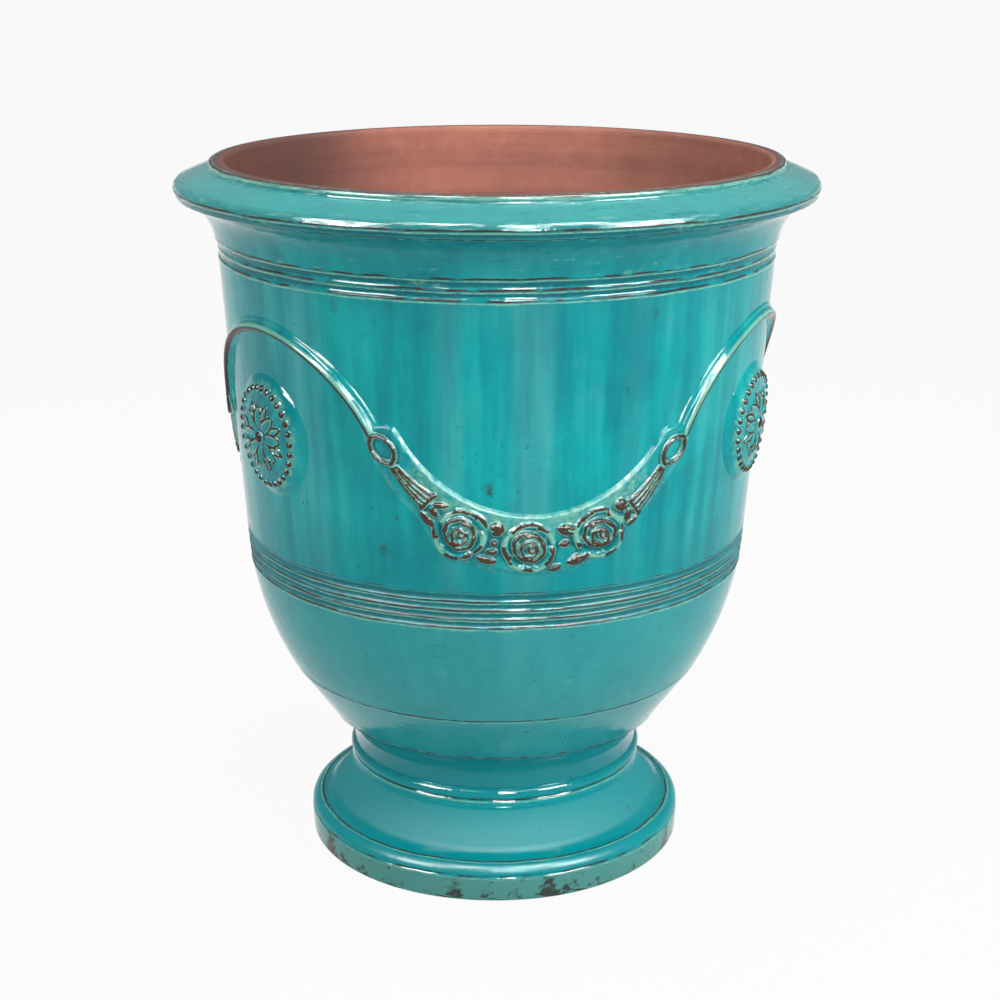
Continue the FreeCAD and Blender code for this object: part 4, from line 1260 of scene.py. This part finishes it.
@dataclass
class Garland(Ornament):
    """A garland of three roses with leaves, buds, fluted sheaths, collars and rings on a crescent pad.

    Places are degrees along its arc and offsets are millimetres outwards across it. A whorl is its
    reach, count of petals, and heights of its floor and top. Petal pairs are for the outer whorl and
    the inner ones. The pad reaches so far above and below the arc, and by so much less at its ends.
    """

    title: str = "garland_{side}_{name}"
    turns: tuple[tuple[str, Turn], ...] = (("front", Turn.FRONT), ("right", Turn.RIGHT), ("left", Turn.LEFT))
    patch: Four = (-160, 160, 340, 506)
    matt: float = 0.6
    arc: float = 143.0
    low: float = 382.0
    tilt: float = 2.2
    pad: float = 3.5
    pad_above: Triple = (30.8, 10.5, 64.0)
    pad_below: Four = (27.5, 15.0, 27.0, 39.0)
    pad_round: float = 3.2
    roses: tuple[tuple[str, float, float], ...] = (
        ("left", -24.5, 0.5), ("middle", 0.0, -1.5), ("right", 25.5, 1.0))
    whorls: tuple[tuple[float, int, float, float], ...] = (
        (24.2, 5, 2.2, 6.2), (14.6, 4, 3.6, 9.0), (8.2, 3, 5.2, 10.0), (3.8, 2, 7.2, 10.8))
    leaves: tuple[tuple[float, ...], ...] = (
        (-37.0, -10.6, 18.0, 6.0, 36.0), (-36.5, 5.5, 20.0, 8.0, -14.0), (-36.6, -3.5, 14.0, 7.0, -17.0),
        (-13.4, 15.4, 20.0, 8.0, 0.0), (-12.4, 6.8, 11.0, 6.0, 12.0), (14.7, -13.2, 20.0, 11.0, -25.0),
        (12.8, -0.9, 11.0, 6.0, 0.0), (15.9, 16.8, 22.0, 10.0, 4.0), (8.4, 20.0, 13.0, 6.0, 12.0),
        (37.0, 1.5, 18.0, 7.0, 38.0), (37.2, 9.0, 18.0, 6.0, 6.0))
    petal_roll: float = 1.5
    petal_span: float = 1.5
    petal_round: Pair = (0.11, 0.15)
    petal_fall: Pair = (1.4, 2.4)
    petal_lift: float = 0.9
    petal_overlap: float = 1.1
    leaf_rise: float = 4.6
    groove: Pair = (1.5, 0.9)
    vein: Pair = (0.5, 1.3)
    buds: tuple[Triple, ...] = (
        (-13.0, -15.0, 7.0), (-12.4, -1.4, 3.2), (37.4, -10.2, 6.3))
    bud_rise: float = 5.4
    collar_place: float = 40.6
    collar_offset: Pair = (-7.5, -0.7)
    collar_half: float = 11.0
    collar_round: float = 3.0
    collar_rise: float = 1.25
    sheath_end: float = 58.0
    sheath_half: Pair = (9.0, 4.0)
    flute_rise: Pair = (4.4, 1.2)
    foot_offset: float = -3.5
    ring_place: float = 64.93
    ring_offset: float = -1.75
    ring_slant: float = 11.0
    ring_half: Pair = (17.0, 10.8)
    ring_round: float = 2.0
    ring_rise: float = 4.0
    end_place: float = 74.0
    corner: float = 11.0

    def spot(self, place: float, across: float = 0.0) -> Pair:
        """The elevation point at an angle along the garland, offset outwards across it."""
        reach, angle = self.arc + across, math.radians(place)
        return reach * math.sin(angle), self.low + self.arc - reach * math.cos(angle)

    def relief(self) -> Relief:
        """Presses every sprig of the garland on one field.

        Returns:
            The settled field.
        """
        made = Relief(self.form, *self.patch, self.tilt, self.low, matt=self.matt)
        rise = self.low + self.arc - made.v
        place = np.degrees(np.arctan2(made.u, rise))
        across = np.hypot(made.u, rise) - self.arc
        pad = self.pad_height(place, across)
        off = np.abs(place)
        halo = 0.45 * eased(14, 20, across) + 0.45 * eased(3, 8, across) * eased(32, 40, off)
        made.press("pad", pad, pale=np.maximum(0.62 * eased(6, -16, across) * eased(70, 48, off), halo))
        for name, centre, offset in self.roses:
            made.press("rose_" + name, *self.rose_height(made, centre, offset))
        for leaf in self.leaves:
            made.press("leaves", self.leaf_height(made, leaf), dark=0.2)
        for bud in self.buds:
            made.press("buds", self.bud_height(made, bud), dark=0.25)
        for name, side, offset in zip(("left", "right"), (-1.0, 1.0), self.collar_offset):
            made.press("sheath_" + name, *self.sheath_height(place * side, across, offset))
            made.press("collar_" + name, self.collar_height(place * side, across - offset))
            made.press("ring_" + name, self.ring_height(made, side), -0.1, 0.5)
        made.settle(np.maximum(pad, made.sunk))
        return made

    def pad_height(self, place: Array, across: Array) -> Array:
        """The crescent: level inside its outline, with a crisp upper edge and a lower one that fades.

        The upper edge turns into each end on a quarter circle of the corner's radius.

        Args:
            place: Degrees along the garland.
            across: Distance outwards across it.

        Returns:
            Heights over the wall.
        """
        off = np.abs(place)
        reach, less, place_less = self.pad_above
        inner = reach - less * (off / place_less) ** 2 + across
        reach, less, first, last = self.pad_below
        outer = reach - less * eased(first, last, off) - across
        end = np.radians(self.end_place - off) * self.arc
        corner = self.corner - np.hypot((self.corner - inner).clip(0), (self.corner - end).clip(0))
        inner = np.where((inner < self.corner) & (end < self.corner), corner, np.minimum(inner, end))
        edge = np.minimum(inner, outer)
        level = (self.pad + 0.5) * edged(inner, self.pad_round) ** 1.5 * eased(-1, 9, outer)
        return np.where(edge > 0, level - 0.7 * eased(3, 12, edge), 2.5 * edge)

    def rose_height(self, made: Relief, place: float, offset: float) -> tuple[Array, Array, Array]:
        """A rose: whorls of cupped petals, each whorl smaller and higher than the last.

        A petal spans more than its share of the whorl. Its edge lies at R (1 - c s^2), where s runs
        from -1 to 1 across it. Inside the edge it is a hollow that turns up as the cube
        of the distance from the heart to a flat roll, and outside it falls steeply, less so on the
        outer whorl. One side of each petal is a little higher, so the petals overlap in turn, and the
        outer ones are not all of one height. Glaze drowns parts of the outer whorl.

        Args:
            made: The field.
            place: Degrees along the garland.
            offset: Offset across the garland.

        Returns:
            Heights over the wall, negative dark marks where glaze drowns it and pale marks there.
        """
        u, v = self.spot(place, offset)
        height = np.full(made.x.shape, ABSENT)
        for tier, (reach, count, floor, top) in enumerate(self.whorls):
            shift, way = 0.7 * tier, place + 2.1 * tier
            along, over = made.local(u + shift * math.cos(way), v + shift * math.sin(way), place)
            far, angle = np.hypot(along, over), np.arctan2(over, along)
            for number in range(count):
                middle = math.pi / 2 + (number + 0.5 * (tier % 2)) * 2 * math.pi / count + 0.13 * place
                swing = (angle - middle + np.pi) % (2 * np.pi) - np.pi
                share = swing / (math.pi / count * self.petal_span)
                size = reach * (0.95 + 0.08 * math.sin(3.1 * number + place + tier))
                ripple = 0.025 * np.cos(3 * np.pi * share) if tier else 0
                edge = size * (1 - self.petal_round[tier > 0] * share ** 2 - ripple)
                cup = floor + (top - floor) * np.clip(far / (edge - self.petal_roll), 0, 1) ** 3
                outside = top - self.petal_fall[tier > 0] * (far - edge)
                lift = self.petal_lift * math.sin(2.7 * number + place) * (tier == 0)
                petal = np.where(far < edge, cup, outside) + lift + self.petal_overlap * share
                height = np.maximum(height, np.where(np.abs(share) < 1, petal, ABSENT))
        along, over = made.local(u, v, place)
        angle = np.arctan2(over, along)
        lobes = np.sin(3 * angle + place) + np.sin(5 * angle)
        drowned = eased(16.5, 19.5, np.hypot(along, over)) * eased(-0.4, 0.9, lobes)
        return np.where(height > self.pad * 0.4, height, ABSENT), -0.75 * drowned, 0.35 * drowned

    def leaf_height(self, made: Relief, leaf: tuple[float, ...]) -> Array:
        """A pointed leaf: domed along and across, with a midrib groove and slanting veins.

        Args:
            made: The field.
            leaf: Degrees along the garland, offset across it, length, width and slant.

        Returns:
            Heights over the wall.
        """
        place, across, length, width, slant = leaf
        along, over = made.local(*self.spot(place, across), place + slant)
        taper = np.clip(1 - (2 * along / length) ** 2, 0, 1)
        half = width / 2 * taper ** 0.8 + 1e-3
        dome = self.leaf_rise * taper ** 0.45 * rounded(over, half.clip(0.3)) ** 0.8
        deep, wide = self.groove
        rib = deep * np.exp(-(over / wide) ** 2) * taper
        rise, rate = self.vein
        vein = rise * np.cos((along + 1.3 * np.abs(over)) * rate) * taper
        inside = (np.abs(over) < half) & (taper > 0)
        return np.where(inside, self.pad + dome - rib + vein, ABSENT)

    def bud_height(self, made: Relief, bud: Triple) -> Array:
        """A round bud: a dome cleft by three grooves that meet at its tip.

        Args:
            made: The field.
            bud: Degrees along the garland, offset across it and radius.

        Returns:
            Heights over the wall.
        """
        place, across, radius = bud
        along, over = made.local(*self.spot(place, across), place)
        far, angle = np.hypot(along, over), np.arctan2(over, along)
        deep, wide = self.groove
        cleft = deep * np.exp(-((np.sin(1.5 * (angle - math.pi / 2)) * far) / wide) ** 2)
        return np.where(far < radius, self.pad + self.bud_rise * rounded(far, radius) - cleft, ABSENT)

    def sheath_height(self, place: Array, across: Array, offset: float) -> tuple[Array, Array, Array]:
        """The fluted sheath: four half-round flutes that fan from the ring's foot to the collar.

        Args:
            place: Degrees along the garland towards this end.
            across: Distance outwards across it.
            offset: Offset of the sheath's mouth across the garland.

        Returns:
            Heights over the wall, dark marks in the grooves and pale marks on the flutes.
        """
        start = self.collar_place + math.degrees(0.5 * self.collar_round / self.arc)
        share = (place - start) / (self.sheath_end - start)
        middle = offset + (self.foot_offset - offset) * share
        half = self.sheath_half[0] + (self.sheath_half[1] - self.sheath_half[0]) * share
        over = (across - middle) / half.clip(1)
        flute = np.abs(np.sin(np.pi * 2 * (over + 1)))
        high, less = self.flute_rise
        rise = (high - less * share) * flute ** 0.75 * rounded(over, 1.25)
        inside = (share > 0) & (share < 1) & (np.abs(over) < 1)
        return np.where(inside, self.pad + rise, ABSENT), 0.9 * (1 - flute) ** 2, 0.7 * flute

    def collar_height(self, place: Array, across: Array) -> Array:
        """The collar: a half-round bar with ball ends across the sheath's mouth.

        Args:
            place: Degrees along the garland towards this end.
            across: Distance across it from the collar's middle.

        Returns:
            Heights over the wall.
        """
        along = np.radians(place - self.collar_place) * self.arc
        beyond = (np.abs(across) - self.collar_half + self.collar_round).clip(0)
        far = np.hypot(along, beyond)
        bar = self.pad + self.collar_rise * self.collar_round * rounded(far, self.collar_round)
        return np.where(far < self.collar_round, bar, ABSENT)

    def ring_height(self, made: Relief, side: float) -> Array:
        """The almond ring: a half-round bar inside an outline of two arcs.

        The distance inside the outline is the arcs' radius less the distance from the far centre.

        Args:
            made: The field.
            side: -1 for the left end, 1 for the right.

        Returns:
            Heights over the wall.
        """
        place = side * self.ring_place
        along, over = made.local(*self.spot(place, self.ring_offset), place - side * self.ring_slant)
        half_long, half_wide = self.ring_half
        curve = (half_long ** 2 + half_wide ** 2) / (2 * half_wide)
        inside = curve - np.hypot(along, np.abs(over) + curve - half_wide)
        bar = self.pad + self.ring_rise * rounded(inside - self.ring_round, self.ring_round)
        return np.where((inside > 0) & (inside < 2 * self.ring_round), bar, ABSENT)


@dataclass
class Medallion(Ornament):
    """A round cushion with an oval of beads round a double rosette of eight petals.

    A petal is where it starts, its length and half its width, and the boss its radius and rise.
    """

    margin: float = 5.0
    height: float = 459.0
    radius: float = 58.0
    thickness: float = 9.3
    oval: Pair = (41.0, 46.0)
    beads: int = 30
    bead: float = 3.4
    bead_rise: float = 3.0
    petals: int = 8
    petal: Triple = (4.0, 26.0, 7.0)
    sepal: Triple = (17.0, 17.0, 4.0)
    boss: Pair = (6.5, 5.6)

    def relief(self) -> Relief:
        """Presses cushion, beads and rosette on one field.

        Returns:
            The settled field.
        """
        reach = self.radius + self.margin
        made = Relief(self.form, -reach, reach, self.height - reach, self.height + reach)
        u, v = made.u, made.v - self.height
        far = np.hypot(u, v)
        level = self.thickness * np.clip(1 - (far / self.radius) ** 4, 0, 1)
        oval = np.hypot(u / self.oval[0], v / self.oval[1])
        inside = eased(1.0, 0.85, oval)
        made.press("medallion_pad", np.where(far < self.radius, level, ABSENT), 0.48 * inside,
                   0.55 * eased(1.35, 1.1, oval) * (1 - 0.4 * inside))
        ground = made.height
        turn = np.arange(self.beads) * 2 * np.pi / self.beads
        bead_u, bead_v = self.oval[0] * np.cos(turn), self.oval[1] * np.sin(turn)
        near = np.hypot(u[None] - bead_u[:, None, None], v[None] - bead_v[:, None, None]).min(axis=0)
        beads = level + self.bead_rise * rounded(near, self.bead)
        made.press("medallion_beads", np.where(near < self.bead, beads, ABSENT), 0.35)
        for shape, first in ((self.sepal, 0.5), (self.petal, 0.0)):
            made.press("medallion_rosette", self.petal_height(u, v, level, shape, first), 0.3)
        knob = level + self.boss[1] * rounded(far, self.boss[0])
        made.press("medallion_rosette", np.where(far < self.boss[0], knob, ABSENT), 0.4)
        made.settle(ground)
        return made

    def petal_height(self, u: Array, v: Array, level: Array, shape: Triple, first: float) -> Array:
        """A ring of pointed petals, each a trough with raised edges and a line along its middle.

        Args:
            u: Distance to the right of the centre.
            v: Height over the centre.
            level: Heights of the cushion.
            shape: Where a petal starts, its length and half its width.
            first: Turn of the ring in petals.

        Returns:
            Heights over the wall.
        """
        start, length, half = shape
        share = 2 * np.pi / self.petals
        far, angle = np.hypot(u, v), np.arctan2(v, u)
        swing = (angle + (first + 0.5) * share) % share - share / 2
        along, over = far * np.cos(swing) - start - length / 2, far * np.sin(swing)
        taper = np.clip(1 - (2 * along / length) ** 2, 0, 1)
        wide = half * taper ** 0.75 + 1e-3
        trough = (0.6 + 3.6 * (over / wide) ** 2 + 1.1 * np.exp(-(over / 0.9) ** 2)) * taper ** 0.4
        return np.where((np.abs(over) < wide) & (taper > 0.02), level + trough, ABSENT)


@dataclass
class Festoon(Ornament):
    """A round rib from ring to ring over a medallion, on the flange of clay it was pressed on with.

    The rib is half its width and its rise, and the flange its reach below and above and its thickness.
    The brown line, partly where the glaze breaks and partly painted shade on the rib's lower flank, is its
    strength, its drop below the rib's middle and its width. The pale skin, partly thin glaze and partly a
    painted highlight on the rib's upper flank, is its rise above the rib's middle and its width.
    """

    patch: Four = (-148, 148, 452, 584)
    left_end: Pair = (-116.2, 473.8)
    right_end: Pair = (124.85, 484.5)
    crown: float = 561.0
    rib: Pair = (4.5, 5.2)
    flange: Triple = (6.0, 9.0, 1.9)
    flange_round: float = 2.4
    overrun: float = 5.0
    brown: Triple = (1.3, 1.9, 2.4)
    skin: Pair = (2.2, 1.8)

    def circle(self) -> Triple:
        """The circle through both ends and the crown midway between them.

        Returns:
            Its centre and radius.
        """
        (a, b), (c, d) = self.left_end, self.right_end
        e, f = (a + c) / 2, self.crown
        rows = np.array([[c - a, d - b], [e - a, f - b]])
        sums = np.array([c * c - a * a + d * d - b * b, e * e - a * a + f * f - b * b]) / 2
        u, v = np.linalg.solve(rows, sums)
        return float(u), float(v), math.hypot(a - u, b - v)

    def relief(self) -> Relief:
        """Presses rib and flange on one field, by the distance from the circle and from its ends.

        Returns:
            The settled field.
        """
        made = Relief(self.form, *self.patch)
        u, v, radius = self.circle()
        off = np.hypot(made.u - u, made.v - v) - radius
        angle = np.arctan2(made.v - v, made.u - u)
        right = math.atan2(self.right_end[1] - v, self.right_end[0] - u)
        left = math.atan2(self.left_end[1] - v, self.left_end[0] - u)
        last = np.minimum(angle - right, left - angle) * radius + self.overrun
        half, rise = self.rib
        below, above, thick = self.flange
        edge = np.minimum(np.minimum(off + below, above - off), last)
        sheet = thick * edged(edge, self.flange_round)
        rib = thick + rise * rounded(np.hypot(off, (half - last).clip(0)), half)
        # Partly painted shade: the brown line lies on the rib's lower flank, below its crest.
        strength, below_rib, wide = self.brown
        line = strength * np.exp(-((off + below_rib) / wide) ** 2)
        # Partly painted highlight, partly thin glaze: the pale skin on the rib's upper flank and on the
        # flange above it.
        above_rib, wide = self.skin
        skin = np.exp(-((off - above_rib) / wide) ** 2) + 0.4 * eased(4, 8, off)
        made.press("festoon", np.where(edge > 0, np.where(rib > thick, rib, sheet), 2.5 * edge), line, skin)
        made.settle(made.height)
        return made


@dataclass(frozen=True)
class SoftBox:
    """A soft box: degrees round from the camera and up, distance, width, height and power."""

    turn: float
    lift: float
    reach: float
    wide: float
    tall: float
    power: float


@dataclass
class Studio:
    """Floor, soft lamps, even surroundings and the camera."""

    camera_reach: float = 1.8847
    camera_height: float = 0.9226
    camera_turn: float = -6.5
    camera_tilt: float = 16.93
    camera_side: float = 0.088
    lens: float = 70.07
    floor_colour: str = "C4C4C2"
    floor_glow: float = 0.93
    surround: float = 0.32
    floor_half: float = 97.0
    lamp_aim: float = 0.45
    sensor: float = 36.0
    glints: tuple[SoftBox, ...] = (
        SoftBox(-52.0, 28.0, 2.0, 0.8, 0.8, 140.0), SoftBox(9.0, 32.0, 2.2, 0.4, 1.5, 135.0),
        SoftBox(50.0, 28.0, 2.0, 0.8, 0.8, 140.0), SoftBox(-26.0, 54.0, 2.2, 0.6, 0.7, 110.0),
        SoftBox(34.0, 54.0, 2.2, 0.6, 0.7, 110.0))
    fills: tuple[SoftBox, ...] = (
        SoftBox(-44.0, 18.0, 2.8, 1.2, 1.2, 24.0), SoftBox(54.0, 18.0, 2.8, 1.2, 1.2, 50.0),
        SoftBox(-98.0, 66.0, 2.0, 0.6, 0.6, 15.0), SoftBox(-8.0, 80.0, 2.1, 0.6, 0.6, 14.0),
        SoftBox(98.0, 66.0, 2.0, 0.6, 0.6, 14.0))

    def floor(self) -> None:
        """A plain pale floor that keeps the vase's soft shadow."""
        size = self.floor_half
        corners = [(-size, -size, 0), (size, -size, 0), (size, size, 0), (-size, size, 0)]
        mesh = bpy.data.meshes.new("floor")
        mesh.from_pydata(corners, [], [(0, 1, 2, 3)])
        made = bpy.data.materials.new("painted_floor_matt")
        made.use_nodes = True
        tree = made.node_tree
        tree.nodes.clear()
        rays = add(tree, "ShaderNodeLightPath").outputs
        seen = rays["Is Camera Ray"]
        for value, kind in ((rays["Is Glossy Ray"], "MAXIMUM"), (rays["Is Transmission Ray"], "MAXIMUM"),
                            (self.floor_glow, "MULTIPLY")):
            seen = add(tree, "ShaderNodeMath", {0: seen, 1: value}, operation=kind).outputs[0]
        matt = add(tree, "ShaderNodeBsdfDiffuse", {"Color": linear(self.floor_colour)}).outputs[0]
        white = add(tree, "ShaderNodeEmission", {"Strength": 1.0}).outputs[0]
        mixed = add(tree, "ShaderNodeMixShader", {0: seen, 1: matt, 2: white}).outputs[0]
        add(tree, "ShaderNodeOutputMaterial", {"Surface": mixed})
        mesh.materials.append(made)
        ground = bpy.data.objects.new("floor", mesh)
        bpy.context.scene.collection.objects.link(ground)

    def surroundings(self) -> None:
        """Even grey surroundings, a little brighter than a dim room."""
        world = bpy.data.worlds.new("studio_grey")
        bpy.context.scene.world = world
        world.use_nodes = True
        tree = world.node_tree
        tree.nodes.clear()
        sky = add(tree, "ShaderNodeBackground", {"Color": (1, 1, 1, 1), "Strength": self.surround}).outputs[0]
        add(tree, "ShaderNodeOutputWorld", {"Surface": sky})

    def light(self) -> None:
        """Broad soft boxes that light the clay, and others that only glint in the glaze."""
        for number, soft in enumerate(self.glints + self.fills):
            glint = number < len(self.glints)
            lamp = bpy.data.lights.new(f"soft_box_{number + 1}", "AREA")
            lamp.shape, lamp.size, lamp.size_y, lamp.energy = "RECTANGLE", soft.wide, soft.tall, soft.power
            box = bpy.data.objects.new(lamp.name, lamp)
            box.visible_camera, box.visible_diffuse, box.visible_glossy = False, not glint, glint
            turn, lift = math.radians(soft.turn + self.camera_turn), math.radians(soft.lift)
            level = soft.reach * math.cos(lift)
            box.location = (level * math.sin(turn), -level * math.cos(turn),
                            self.lamp_aim + soft.reach * math.sin(lift))
            box.rotation_euler = (math.pi / 2 - lift, 0, turn)
            bpy.context.scene.collection.objects.link(box)

    def camera(self) -> None:
        """The camera at the photograph's viewing angle."""
        data = bpy.data.cameras.new("camera")
        data.sensor_fit, data.sensor_width, data.lens = "HORIZONTAL", self.sensor, self.lens
        eye = bpy.data.objects.new("camera", data)
        turn, reach = math.radians(self.camera_turn), self.camera_reach
        eye.location = (reach * math.sin(turn), -reach * math.cos(turn), self.camera_height)
        eye.rotation_euler = (math.radians(90 - self.camera_tilt), 0,
                              math.radians(self.camera_turn - self.camera_side))
        bpy.context.scene.collection.objects.link(eye)
        bpy.context.scene.camera = eye

    def build(self) -> None:
        """Sets the studio up."""
        self.floor()
        self.surroundings()
        self.light()
        self.camera()
        bpy.context.scene.view_settings.view_transform = "Standard"


def main() -> None:
    """Builds the vase from the ground up, then the studio."""
    logging.basicConfig(level=logging.INFO, format="%(message)s")
    form = VaseForm()
    finish = GlazedEarthenware().material()
    for section in (Foot, LowerBowl, UpperBowl, RimCollar):
        section(form).build(finish)
    for ornament in (Garland, Medallion, Festoon):
        ornament(form).build(finish)
    Studio().build()


if __name__ == "__main__":
    main()
